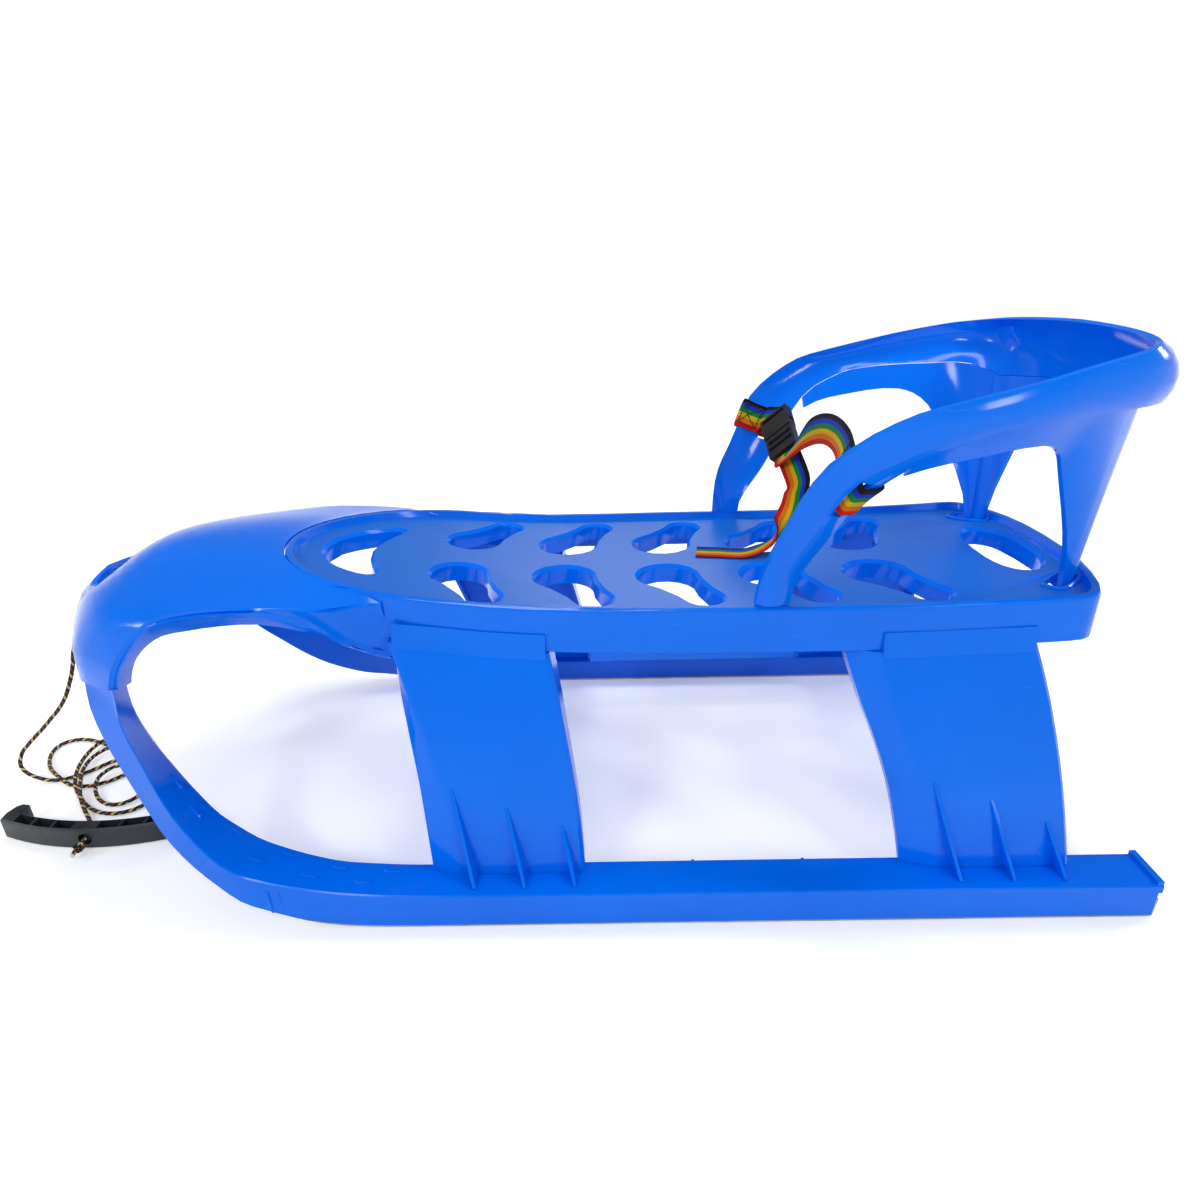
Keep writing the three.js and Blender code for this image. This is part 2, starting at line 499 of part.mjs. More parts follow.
// Closed solid between two grids of points of one size
function skin(outer, inner) {
  const rows = outer.length;
  const cols = outer[0].length;
  const points = [...outer.flat(), ...inner.flat()];
  const half = rows * cols;
  const faces = [];
  const quad = (a, b, c, d) => faces.push([a, b, c], [a, c, d]);
  for (let i = 0; i + 1 < rows; i++) {
    for (let j = 0; j + 1 < cols; j++) {
      const a = i * cols + j;
      quad(a, a + 1, a + cols + 1, a + cols);
      quad(half + a, half + a + cols, half + a + cols + 1, half + a + 1);
    }
  }
  for (let j = 0; j + 1 < cols; j++) {
    const e = (rows - 1) * cols + j;
    quad(j, half + j, half + j + 1, j + 1);
    quad(e, e + 1, half + e + 1, half + e);
  }
  for (let i = 0; i + 1 < rows; i++) {
    const a = i * cols;
    const e = a + cols - 1;
    quad(a, a + cols, half + a + cols, half + a);
    quad(e, half + e, half + e + cols, e + cols);
  }
  return facingOut({ points, faces });
}

// The grid moved by a distance along its own normals, away from or toward a point
function offsetGrid(grid, distance, away) {
  return grid.map((row, i) =>
    row.map((p, j) => {
      const up = grid[Math.min(i + 1, grid.length - 1)][j];
      const down = grid[Math.max(i - 1, 0)][j];
      const next = row[Math.min(j + 1, row.length - 1)];
      const back = row[Math.max(j - 1, 0)];
      const normal = up.clone().sub(down).cross(next.clone().sub(back)).normalize();
      if (normal.dot(p.clone().sub(away(p))) < 0) normal.negate();
      return p.clone().addScaledVector(normal, distance);
    }),
  );
}

function solidOf(part) {
  return new wasm.Manifold(
    new wasm.Mesh({
      numProp: 3,
      vertProperties: Float32Array.from(part.points.flatMap((p) => [p.x, p.y, p.z])),
      triVerts: Uint32Array.from(part.faces.flat()),
    }),
  );
}

function fromSolid(solid) {
  const mesh = solid.getMesh();
  const points = [];
  for (let i = 0; i < mesh.numVert; i++) {
    const k = i * mesh.numProp;
    points.push(vec(mesh.vertProperties[k], mesh.vertProperties[k + 1], mesh.vertProperties[k + 2]));
  }
  const faces = [];
  for (let i = 0; i < mesh.triVerts.length; i += 3) faces.push([...mesh.triVerts.slice(i, i + 3)]);
  return { points, faces };
}

function join(parts) {
  return fromSolid(parts.slice(1).reduce((sum, p) => sum.add(solidOf(p)), solidOf(parts[0])));
}

function cut(part, tools) {
  return fromSolid(tools.reduce((rest, tool) => rest.subtract(solidOf(tool)), solidOf(part)));
}

function moved(part, change) {
  return facingOut({ points: part.points.map(change), faces: part.faces });
}

const mirrored = (part) => moved(part, (p) => vec(p.x, -p.y, p.z));

// Edges longer than a limit are halved until none is left
function divided(part, limit) {
  let { points, faces } = part;
  for (let pass = 0; pass < 6; pass++) {
    const middles = new Map();
    const middle = (a, b) => {
      if (points[a].distanceTo(points[b]) <= limit) return -1;
      const key = a < b ? a + "_" + b : b + "_" + a;
      if (!middles.has(key)) {
        points.push(points[a].clone().lerp(points[b], 0.5));
        middles.set(key, points.length - 1);
      }
      return middles.get(key);
    };
    const next = [];
    for (let [a, b, c] of faces) {
      let ab = middle(a, b);
      let bc = middle(b, c);
      let ca = middle(c, a);
      const count = [ab, bc, ca].filter((m) => m >= 0).length;
      if (count === 0) {
        next.push([a, b, c]);
      } else if (count === 3) {
        next.push([a, ab, ca], [ab, b, bc], [ca, bc, c], [ab, bc, ca]);
      } else {
        while (!(ab >= 0 && (count === 1 || bc >= 0))) {
          [a, b, c] = [b, c, a];
          [ab, bc, ca] = [bc, ca, ab];
        }
        if (count === 1) next.push([a, ab, c], [ab, b, c]);
        else next.push([ab, b, bc], [a, ab, bc], [a, bc, c]);
      }
    }
    faces = next;
    if (middles.size === 0) break;
  }
  return { points, faces };
}

// A flat outline moved outward by a distance, counter-clockwise outlines only
function grown(outline, distance) {
  const n = outline.length;
  return outline.map((p, i) => {
    const a = outline[(i + n - 1) % n];
    const b = outline[(i + 1) % n];
    const e = new THREE.Vector2(p[0] - a[0], p[1] - a[1]).normalize();
    const f = new THREE.Vector2(b[0] - p[0], b[1] - p[1]).normalize();
    const m = new THREE.Vector2(e.y + f.y, -e.x - f.x).normalize();
    const scale = distance / Math.max(0.6, m.x * e.y - m.y * e.x);
    return [p[0] + m.x * scale, p[1] + m.y * scale];
  });
}

// A closed solid through one outline, grown by an amount at each height
function stack(outline, levels) {
  return loft(levels.map(([z, grow]) => grown(outline, grow).map(([x, y]) => vec(x, y, z))));
}

function box(x0, x1, y0, y1, z0, z1) {
  const ring = (z) => [vec(x0, y0, z), vec(x1, y0, z), vec(x1, y1, z), vec(x0, y1, z)];
  return loft([ring(z0), ring(z1)]);
}

const rimHeight = profile(RIM_HEIGHT_SHARES.map(([x, z]) => [alongX(x), upZ(z)]));
const sideShares = SEAT_HALF_WIDTH_SHARES.slice(0, 8);
const seatHalf = profile(sideShares.map(([x, y]) => [alongX(x), acrossY(y)]));
const arcCentre = alongX(SEAT_HALF_WIDTH_SHARES[0][0]);
const arcReach = arcCentre - alongX(SEAT_APEX_SHARE);
const arcHalf = acrossY(SEAT_HALF_WIDTH_SHARES[0][1]);

// Extra height of the tail rim in its middle
const tailEnd = alongX(SEAT_HALF_WIDTH_SHARES[SEAT_HALF_WIDTH_SHARES.length - 1][0]);
function tailRise(x, y) {
  const near = ease((x - tailEnd + TAIL_RISE_REACH) / TAIL_RISE_REACH);
  return TAIL_RISE * near * (1 - Math.pow(y / seatHalf(alongX(sideShares[7][0])), 2));
}

// Seat pan outline, counter-clockwise from the front middle by the right side
function seatOutline() {
  const half = [];
  for (let k = 0; k < 14; k++) {
    const turn = (k / 14) * (Math.PI / 2);
    half.push([arcCentre - arcReach * Math.cos(turn), -arcHalf * Math.sin(turn)]);
  }
  const end = alongX(sideShares[7][0]);
  for (let k = 0; k < 14; k++) {
    const x = mix(arcCentre, end, k / 14);
    half.push([x, -seatHalf(x)]);
  }
  const tail = SEAT_HALF_WIDTH_SHARES.slice(7).map(([x, y]) => [alongX(x), -acrossY(y)]);
  const whole = [...half, ...tail];
  const back = whole.slice(1, -1).reverse();
  return [...whole, ...back.map(([x, y]) => [x, -y])];
}

// Sole-shaped outline round two circles, with a slight waist between them
function soleOutline([ax, ay, ar, bx, by, br], side) {
  const a = new THREE.Vector2(alongX(ax), side * acrossY(ay));
  const b = new THREE.Vector2(alongX(bx), side * acrossY(by));
  const ra = acrossY(ar);
  const rb = acrossY(br);
  const along = b.clone().sub(a);
  const lean = Math.acos((ra - rb) / along.length());
  const base = Math.atan2(along.y, along.x);
  const list = [];
  const arc = (c, r, from, to, steps) => {
    for (let k = 0; k <= steps; k++) {
      const t = mix(from, to, k / steps);
      list.push([c.x + r * Math.cos(t), c.y + r * Math.sin(t)]);
    }
  };
  const waist = (p, q, inward) => {
    for (const t of [0.3, 0.7]) {
      const w = inward * ra * 0.14 * Math.sin(Math.PI * t);
      const n = [-(q[1] - p[1]), q[0] - p[0]];
      const size = Math.hypot(...n);
      list.push([mix(p[0], q[0], t) + (n[0] / size) * w, mix(p[1], q[1], t) + (n[1] / size) * w]);
    }
  };
  const onA = (t) => [a.x + ra * Math.cos(t), a.y + ra * Math.sin(t)];
  const onB = (t) => [b.x + rb * Math.cos(t), b.y + rb * Math.sin(t)];
  arc(b, rb, base - lean, base + lean, 6);
  waist(onB(base + lean), onA(base + lean), 1);
  arc(a, ra, base + lean, base + 2 * Math.PI - lean, 9);
  waist(onA(base - lean), onB(base - lean), 1);
  return list;
}

// Outline of a hole that lies across the seat, bent by its reach
function crossOutline({ middle, reach, half, wide }) {
  const list = [];
  const span = acrossY(half);
  for (let k = 0; k < 24; k++) {
    const turn = (k / 24) * 2 * Math.PI;
    const lean = Math.sign(Math.cos(turn)) * Math.pow(Math.abs(Math.cos(turn)), 0.75);
    const y = -span * lean;
    const thick = (wide * SLED_LENGTH * Math.sin(turn)) / 2;
    const centre = alongX(middle) + reach * SLED_LENGTH * Math.pow(y / span, 2);
    list.push([centre - thick, y]);
  }
  return THREE.ShapeUtils.area(list.map(([x, y]) => new THREE.Vector2(x, y))) < 0
    ? list.reverse()
    : list;
}

// Outer line of the post's foot, from its front to its rear corner
const wallEdge = [1, 2, 3].map((k) => profile(WALL_EDGE_SHARES.map((row) => [row[0], row[k]])));
const wallEdgePoint = (station) => {
  const [x, y, z] = wallEdge.map((f) => f(station));
  return vec(alongX(x), acrossY(y), backZ(z));
};
function postFoot() {
  const front = wallEdgePoint(FOOT_STATIONS[0]);
  const rear = wallEdgePoint(FOOT_STATIONS[1]);
  const along = rear.clone().sub(front).setZ(0);
  const length = along.length();
  along.normalize();
  const inward = vec(along.y, -along.x, 0);
  const crown = wallEdgePoint((FOOT_STATIONS[0] + FOOT_STATIONS[1]) / 2).sub(front).dot(inward);
  const depth = BACK_WALL + FLUTE_DEPTH - crown;
  const centre = front.clone().lerp(rear, 0.5).addScaledVector(inward, depth / 2 + crown);
  return { centre, along, inward, length, depth };
}

// Rounded outline of one post socket, open toward the front
function socketOutline(side) {
  const { centre, along, inward, length, depth } = postFoot();
  const rx = length / 2 + SOCKET_SPARE / 2 + SOCKET_CLEARANCE;
  const ry = depth / 2 + SOCKET_CLEARANCE;
  const middle = centre.clone().addScaledVector(along, -SOCKET_SPARE / 2);
  const list = [];
  for (let k = 0; k < 20; k++) {
    const t = (k / 20) * 2 * Math.PI;
    const round = (v) => Math.sign(v) * Math.pow(Math.abs(v), 0.6);
    const p = middle.clone().addScaledVector(along, rx * round(Math.cos(t)));
    p.addScaledVector(inward, ry * round(Math.sin(t)));
    list.push([p.x, side * p.y]);
  }
  const area = THREE.ShapeUtils.area(list.map(([x, y]) => new THREE.Vector2(x, y)));
  return area < 0 ? list.reverse() : list;
}

function seatDeck() {
  const outline = seatOutline();
  const top = -PAN_DEPTH;
  const bottom = top - SHELL_WALL;
  const holes = [crossOutline(CRESCENT_SHARES), crossOutline(REAR_HOLE_SHARES)];
  for (const shares of SOLE_HOLE_SHARES) holes.push(soleOutline(shares, 1), soleOutline(shares, -1));
  const sockets = [socketOutline(1), socketOutline(-1)];
  const outer = stack(outline, [
    [-SKIRT_DEPTH, 0], [-RIM_ROUND, 0], [-RIM_ROUND * 0.3, -RIM_ROUND * 0.3], [0, -RIM_ROUND],
  ]);
  const recess = stack(outline, [[top, -RIM_WIDTH - CUT_EXTRA], [CUT_EXTRA, -RIM_WIDTH + CUT_EXTRA]]);
  const pocket = stack(outline, [[-SKIRT_DEPTH - CUT_EXTRA, -SHELL_WALL], [bottom, -SHELL_WALL]]);
  let deck = cut(outer, [recess, pocket]);
  const sleeve = (o, depth) => stack(o, [[top - depth, SLEEVE_WALL], [bottom + CUT_EXTRA, SLEEVE_WALL]]);
  const collar = (o) => stack(o, [
    [top - CUT_EXTRA, COLLAR_WALL], [top + COLLAR_HEIGHT - CUT_EXTRA, COLLAR_WALL],
    [top + COLLAR_HEIGHT, COLLAR_WALL - CUT_EXTRA],
  ]);
  deck = join([deck, ...holes.map((o) => sleeve(o, SLEEVE_DEPTH)), ...sockets.map(collar)]);
  const drill = (o) => stack(o, [
    [top - SLEEVE_DEPTH - CUT_EXTRA, 0], [top - HOLE_ROUND, 0],
    [top, HOLE_ROUND], [top + CUT_EXTRA, HOLE_ROUND + CUT_EXTRA],
  ]);
  const shaft = (o) => stack(o, [[bottom - CUT_EXTRA, 0], [top + COLLAR_HEIGHT + CUT_EXTRA, 0]]);
  deck = cut(deck, [...holes.map(drill), ...sockets.map(shaft)]);
  return moved(divided(deck, LONGEST_EDGE), (p) => vec(p.x, p.y, p.z + rimHeight(p.x) + tailRise(p.x, p.y)));
}

const crestLine = line(CREST_SHARES.map(([x, z]) => vec(alongX(x), 0, upZ(z))));
const shared = (rows) => rows.map(([x, y, z]) => vec(alongX(x), acrossY(y), upZ(z)));
const ridgeLine = line(shared(RIDGE_SHARES));
const windowLine = line(shared(WINDOW_SHARES));

// Rear edge of the nose shell, which follows the front arc of the seat
function noseRear(v) {
  const span = 0.86;
  const size = Math.abs(v);
  const side = Math.sign(v);
  const steep = 1.3;
  const corner = (t) => {
    const turn = t * steep;
    const x = arcCentre - (arcReach + GAP) * Math.cos(turn);
    return vec(x, (arcHalf + GAP) * Math.sin(turn), rimHeight(x));
  };
  if (size <= span) {
    const p = corner(size / span);
    return vec(p.x, side * p.y, p.z);
  }
  const p = corner(1).lerp(ridgeLine(0), (size - span) / (1 - span));
  return vec(p.x, side * p.y, p.z);
}

const nosePlan = profile(NOSE_PLAN_SHARES);

// A point of the nose shell: s from the seat to the lip, v from side to side
function nosePoint(s, v) {
  const size = Math.abs(v);
  const crest = crestLine(s);
  const ridge = ridgeLine(s);
  const bell = (1 + Math.cos(Math.PI * size)) / 2;
  const dome = 1 - size * size;
  const plan = mix(1 - Math.pow(size, CREST_POWER_SHARE), nosePlan(size), ease(s * 2.5 - 0.9));
  const x = mix(ridge.x, crest.x, plan);
  const z = mix(ridge.z, crest.z, mix(bell, dome, ease(s * 1.4)));
  const point = vec(x, v * ridge.y, z);
  const blend = ease(s / 0.4);
  return noseRear(v).lerp(point, size === 1 ? 1 : blend);
}

function noseGrid(rows, cols) {
  const grid = [];
  for (let i = 0; i <= rows; i++) {
    const s = i / rows;
    const row = [];
    const edge = windowLine(s);
    const ridge = ridgeLine(s);
    const wall = (t, side) => {
      const p = ridge.clone().lerp(edge, t);
      return vec(p.x, side * p.y, p.z);
    };
    row.push(wall(1, -1), wall(0.55, -1), wall(0.12, -1));
    for (let j = 0; j <= cols; j++) {
      const v = (2 * j) / cols - 1;
      row.push(nosePoint(s, v * (1 - HOOD_EDGE_SHARE)));
    }
    row.push(wall(0.12, 1), wall(0.55, 1), wall(1, 1));
    grid.push(row);
  }
  return grid;
}

function noseHood() {
  const grid = noseGrid(20, 20);
  for (const row of grid) {
    for (const p of row) {
      const reach = Math.pow((p.x - alongX(SCOOP_MIDDLE_SHARE)) / NOSE_SCOOP_REACH, 2);
      const spread = Math.pow(p.y / (NOSE_SLOT_LENGTH * SCOOP_SPREAD_SHARE), 4);
      if (p.z > upZ(SCOOP_LOW_SHARE)) p.z -= NOSE_SCOOP_DEPTH * Math.exp(-reach - spread);
    }
  }
  const least = alongX(HOOD_CENTRE_SHARES.along);
  const centre = (p) => vec(Math.max(p.x, least), p.y / 2, upZ(HOOD_CENTRE_SHARES.high));
  const inner = offsetGrid(grid, -SHELL_WALL, centre);
  const shell = skin(grid, inner);
  const slot = [];
  for (let k = 0; k < 32; k++) {
    const turn = (k / 32) * 2 * Math.PI;
    const y = (NOSE_SLOT_LENGTH / 2) * Math.cos(turn);
    const bow = NOSE_SLOT_BOW * Math.pow((2 * y) / NOSE_SLOT_LENGTH, 2);
    const wide = Math.sign(Math.sin(turn)) * Math.pow(Math.abs(Math.sin(turn)), 0.8);
    slot.push([alongX(SLOT_MIDDLE_SHARE) + bow + (wide * NOSE_SLOT_WIDTH) / 2, y]);
  }
  const through = stack(slot.reverse(), SLOT_CUT_SHARES.map((z) => [upZ(z), 0]));
  const bore = tubeAlong(ropeRoute().slice(0, ROPE_BORE_POINTS), ROPE_DIAMETER + 2 * GAP);
  const seat = stack(seatOutline(), SEAT_CUT_SHARES.map((z) => [upZ(z), GAP]));
  return cut(shell, [through, bore, seat]);
}

// Stations of one runner, from the nose down and back to the tail
const runnerEnd = SLED_LENGTH / 2 - GAP - STRIP_THICKNESS;
function runnerRail(rows) {
  const points = shared(rows);
  const last = points[points.length - 1];
  return { bend: line(points), last };
}
const rails = {
  ridge: runnerRail(ARM_RIDGE_SHARES),
  foot: runnerRail(ARM_OUTER_FOOT_SHARES),
  window: runnerRail(ARM_WINDOW_SHARES),
  inner: runnerRail(ARM_INNER_FOOT_SHARES),
};

// The four edges of the runner section, bend from 0 to 1 and then the straight from 1 to 2
function runnerEdges(t) {
  const at = (rail) => {
    if (t <= 1) return rail.bend(t);
    return vec(mix(rail.last.x, runnerEnd, t - 1), rail.last.y, rail.last.z);
  };
  return { R: at(rails.ridge), O: at(rails.foot), W: at(rails.window), I: at(rails.inner) };
}

function runnerRing(t) {
  const { R, O, W, I } = runnerEdges(t);
  const drop = O.clone().sub(R).normalize();
  const across = W.clone().sub(R).normalize();
  const fall = I.clone().sub(W).normalize();
  const lip = LIP_OUT * ease(t * 3 - 0.6);
  const at = (p, a, b) => p.clone().addScaledVector(drop, a).addScaledVector(across, b);
  const wall = SHELL_WALL;
  const wIn = (p, a, b) => p.clone().addScaledVector(fall, a).addScaledVector(across, b);
  return [
    O.clone(),
    at(R, LIP_DEPTH, 0),
    at(R, LIP_DEPTH - LIP_ROUND, -lip),
    at(R, LIP_ROUND, -lip),
    at(R, 0, LIP_ROUND - lip),
    at(W, 0, -WINDOW_ROUND),
    wIn(W, WINDOW_CHAMFER, -WINDOW_CHAMFER),
    wIn(W, WINDOW_ROUND, 0),
    I.clone(),
    I.clone().addScaledVector(across, -wall),
    wIn(W, wall + INNER_ROUND, -wall),
    at(R, wall, wall),
    at(R, LIP_DEPTH, wall),
    O.clone().addScaledVector(across, wall),
  ];
}

function runnerShell() {
  const rings = [];
  const steps = 30;
  for (let k = 0; k <= steps; k++) rings.push(runnerRing(k / steps));
  for (let k = 1; k <= 6; k++) rings.push(runnerRing(1 + k / 6));
  for (const p of rings[0]) p.z -= GAP;
  return loft(rings);
}

// A plate that fills the runner section between two stations
function runnerPlate(t0, t1, inset) {
  const ring = (t) => {
    const { R, O, W, I } = runnerEdges(t);
    const middle = R.clone().add(O).add(W).add(I).multiplyScalar(0.25);
    return [R, O, I, W].map((p) => p.clone().lerp(middle, inset));
  };
  return loft([ring(t0), ring(t1)]);
}

function footBump(t, share) {
  const { R, W } = runnerEdges(t);
  const centre = R.clone().lerp(W, share);
  const next = runnerEdges(t + 0.01);
  const along = next.R.clone().lerp(next.W, share).sub(centre).normalize();
  const across = W.clone().sub(R).normalize();
  const up = along.clone().cross(across).normalize();
  if (up.z < 0) up.negate();
  const ring = (height, size) => {
    const list = [];
    for (let k = 0; k < 10; k++) {
      const turn = (k / 10) * 2 * Math.PI;
      const a = (BUMP_LENGTH / 2) * size * Math.sign(Math.cos(turn)) * Math.sqrt(Math.abs(Math.cos(turn)));
      const b = (BUMP_WIDTH / 2) * size * Math.sin(turn);
      const p = centre.clone().addScaledVector(along, a).addScaledVector(across, b);
      list.push(p.addScaledVector(up, height));
    }
    return list;
  };
  return loft([ring(-CUT_EXTRA, 1), ring(BUMP_HEIGHT * 0.5, 1), ring(BUMP_HEIGHT, 0.7)]);
}

function runner() {
  const parts = [runnerShell()];
  const full = runnerEnd - rails.ridge.last.x;
  parts.push(runnerPlate(2 - END_WALL / full, 2, 0));
  const { R, W } = runnerEdges(2);
  const lip = R.clone().sub(W).normalize().multiplyScalar(LIP_OUT - TAIL_RIDGE_INSET);
  const side = [W.y + TAIL_RIDGE_INSET, R.y + lip.y];
  parts.push(box(R.x - TAIL_RIDGE_WIDTH, R.x, ...side, R.z - CUT_EXTRA, R.z + TAIL_RIDGE_HEIGHT));
  for (const [along, across] of BUMP_SHARES) parts.push(footBump(along, across));
  for (let k = 1; k < 6; k++) {
    parts.push(runnerPlate(1 + k / 6 - RIB_THICKNESS / full, 1 + k / 6, RIB_INSET_SHARE));
  }
  const hood = noseHood();
  const lowered = moved(hood, (p) => vec(p.x, p.y, p.z - GAP));
  const forward = moved(hood, (p) => vec(p.x - GAP, p.y, p.z - GAP));
  return cut(join(parts), [lowered, forward]);
}

// Metal strip under one runner, its ends turned up
function metalStrip() {
  const ring = (x, y, z, lean, width) => {
    const half = width / 2;
    const n = vec(-Math.sin(lean), 0, Math.cos(lean)).multiplyScalar(STRIP_THICKNESS);
    const low = vec(x, y, z).sub(n);
    return [
      vec(low.x, y - half, low.z), vec(low.x, y + half, low.z), vec(x, y + half, z), vec(x, y - half, z),
    ];
  };
  const rings = [];
  const place = (t) => {
    const { O, I } = runnerEdges(t);
    const z = Math.max(O.z, rails.foot.last.z) - GAP;
    return vec((O.x + I.x) / 2, (O.y + I.y) / 2, z);
  };
  const first = place(STRIP_START_SHARE);
  const slope = (t) => {
    const a = place(t - 0.01);
    const b = place(t + 0.01);
    return Math.atan2(b.z - a.z, b.x - a.x);
  };
  for (const { back, rise, lean } of STRIP_NOSE_STEPS) {
    rings.push(ring(first.x - back, first.y, first.z + rise, lean, STRIP_END_WIDTH));
  }
  for (let k = 1; k <= 12; k++) {
    const t = mix(STRIP_START_SHARE, 1, k / 12);
    const p = place(t);
    rings.push(ring(p.x, p.y, p.z, slope(Math.min(t, 0.985)), k < 2 ? STRIP_END_WIDTH : STRIP_WIDTH));
  }
  const last = place(2);
  const bend = STRIP_THICKNESS;
  rings.push(ring(last.x - bend, last.y, last.z, 0, STRIP_WIDTH));
  rings.push(ring(last.x + GAP, last.y, last.z, Math.PI / 4, STRIP_WIDTH));
  rings.push(ring(last.x + GAP, last.y, last.z + STRIP_TURN_UP, Math.PI / 2, STRIP_WIDTH));
  return loft(rings);
}

// One flared leg with its front chamfer, side returns, apron and fins
function leg(shares) {
  const level = (list) => profile(LEG_LEVEL_SHARES.map((v, i) => [v, alongX(list[i])]));
  const outerX = level(shares.outer);
  const innerX = level(shares.inner);
  const rearX = level(shares.rear);
  const floor = rails.ridge.last.z + GAP;
  const footY = acrossY(LEG_FOOT_Y_SHARE);
  const frontTop = seatHalf(outerX(1)) + LEG_STAND_OFF;
  const rearTop = seatHalf(rearX(1)) + LEG_STAND_OFF;
  const swell = (v) => LEG_BULGE * Math.sin(Math.PI * Math.pow(v, 0.8));
  const faceY = (v, t) => mix(footY, mix(frontTop, rearTop, t), v) + swell(v);
  const topZ = (x) => rimHeight(x) - SKIRT_DEPTH - 2 * GAP;
  const height = (x, v) => mix(floor, topZ(x), v);
  const rings = [];
  for (let k = 0; k <= 8; k++) {
    const v = k / 8;
    const depth = mix(LEG_FOOT_DEPTH, LEG_TOP_DEPTH, v);
    const chamfer = mix(LEG_FOOT_CHAMFER, LEG_TOP_CHAMFER, v);
    const front = outerX(v);
    const inside = Math.min(innerX(v), front - LEG_INNER_ROUND);
    const rear = rearX(v);
    const wall = SHELL_WALL;
    const at = (x, t, y) => vec(x, faceY(v, t) - y, height(x, v));
    rings.push([
      at(inside, 0, depth), at(inside, 0, chamfer), at(mix(inside, front, 0.85), 0, chamfer * 0.12),
      at(front + LEG_FRONT_ROUND, 0.03, 0), at(mix(front, rear, 0.5), 0.5, 0),
      at(rear - LEG_REAR_ROUND, 0.98, 0),
      at(rear, 1, LEG_REAR_ROUND),
      at(rear, 1, depth), at(rear - wall, 1, depth), at(rear - wall, 1, wall + LEG_INNER_ROUND),
      at(mix(front, rear, 0.5), 0.5, wall), at(front + LEG_FRONT_ROUND, 0.03, wall),
      at(inside + wall, 0, chamfer + LEG_INNER_ROUND),
      at(inside + wall, 0, depth),
    ]);
  }
  const parts = [loft(rings)];
  const outer = [];
  const inner = [];
  for (let k = 0; k <= 8; k++) {
    const t = k / 8;
    const x = mix(outerX(1) + LEG_FRONT_ROUND, rearX(1) - LEG_REAR_ROUND, t);
    const side = seatHalf(x) + APRON_CLEARANCE;
    const z = topZ(x);
    const face = faceY(APRON_START_SHARE, t);
    outer.push([
      vec(x, face, z - APRON_FOOT), vec(x, side + SHELL_WALL, z + APRON_SHOULDER),
      vec(x, side + APRON_EDGE, z + APRON_HEIGHT),
    ]);
    inner.push([
      vec(x, face - APRON_WALL, z - APRON_FOOT), vec(x, side, z - APRON_DROP), vec(x, side, z + APRON_HEIGHT),
    ]);
  }
  parts.push(skin(outer, inner));
  for (const [share, tallShare] of shares.fins) {
    const tall = upZ(tallShare);
    const x = alongX(share);
    const topV = tall / (topZ(x) - floor);
    const lean = -FIN_LEAN_SHARE * tall;
    const span = (v) => (x - outerX(0)) / (rearX(0) - outerX(0));
    const ring = (shift) => {
      const list = [];
      for (const v of [0, topV / 2, topV]) {
        const px = x + lean * (v / topV) + shift;
        list.push(vec(px, faceY(v, span(v)) - FIN_ROOT, mix(floor, topZ(x), v)));
      }
      list.push(vec(x + lean + shift, faceY(topV, span(topV)) + FIN_TIP, mix(floor, topZ(x), topV)));
      list.push(vec(x + shift, acrossY(FIN_REACH_SHARE), floor + FIN_FOOT));
      list.push(vec(x + shift, acrossY(FIN_REACH_SHARE), floor));
      return list;
    };
    parts.push(loft([ring(-FIN_THICKNESS / 2), ring(FIN_THICKNESS / 2)]));
  }
  return join(parts);
}

const backPoints = (rows) => rows.map(([x, y, z]) => vec(alongX(x), acrossY(y), backZ(z)));
const bothSides = (points) => {
  const other = points.slice(0, -1).reverse();
  return [...points, ...other.map((p) => vec(p.x, -p.y, p.z))];
};
const topRim = line(bothSides(backPoints(BACK_TOP_SHARES)));
const lowRim = line(bothSides(backPoints(BACK_LOW_SHARES)));
const RIM_SPANS = BACK_TOP_SHARES.length * 2 - 2;

// Places along the rim where sections stand, closer round the rear corner
function rimStations() {
  const half = [];
  for (let i = 0; i < 16; i++) half.push(i);
  for (let i = 16; i < 21; i += 0.5) half.push(i);
  for (let i = FOOT_STATIONS[0]; i <= FOOT_STATIONS[1]; i += 0.25) half.push(i);
  for (let i = 23.5; i < 26; i += 0.5) half.push(i);
  return half;
}
const sidePlace = (t) => Math.min(t, 1 - t) * RIM_SPANS;

const cornerShare = (t) => Math.exp(-Math.pow((sidePlace(t) - CORNER_STATION) / CORNER_SPREAD, 2));

// Extra thickness at the lower edge, where the wall under the band starts
function ledge(t) {
  const start = ease((sidePlace(t) - LEDGE_STATIONS[0]) / (LEDGE_STATIONS[1] - LEDGE_STATIONS[0]));
  return BACK_LEDGE * start + BACK_CORNER_LEDGE * cornerShare(t);
}

// Rounded rib down the inner face over each post
function flute(t) {
  const share = clamp01((sidePlace(t) - FLUTE_STATIONS[0]) / (FLUTE_STATIONS[1] - FLUTE_STATIONS[0]));
  return FLUTE_DEPTH * Math.pow(Math.sin(Math.PI * share), 0.7);
}

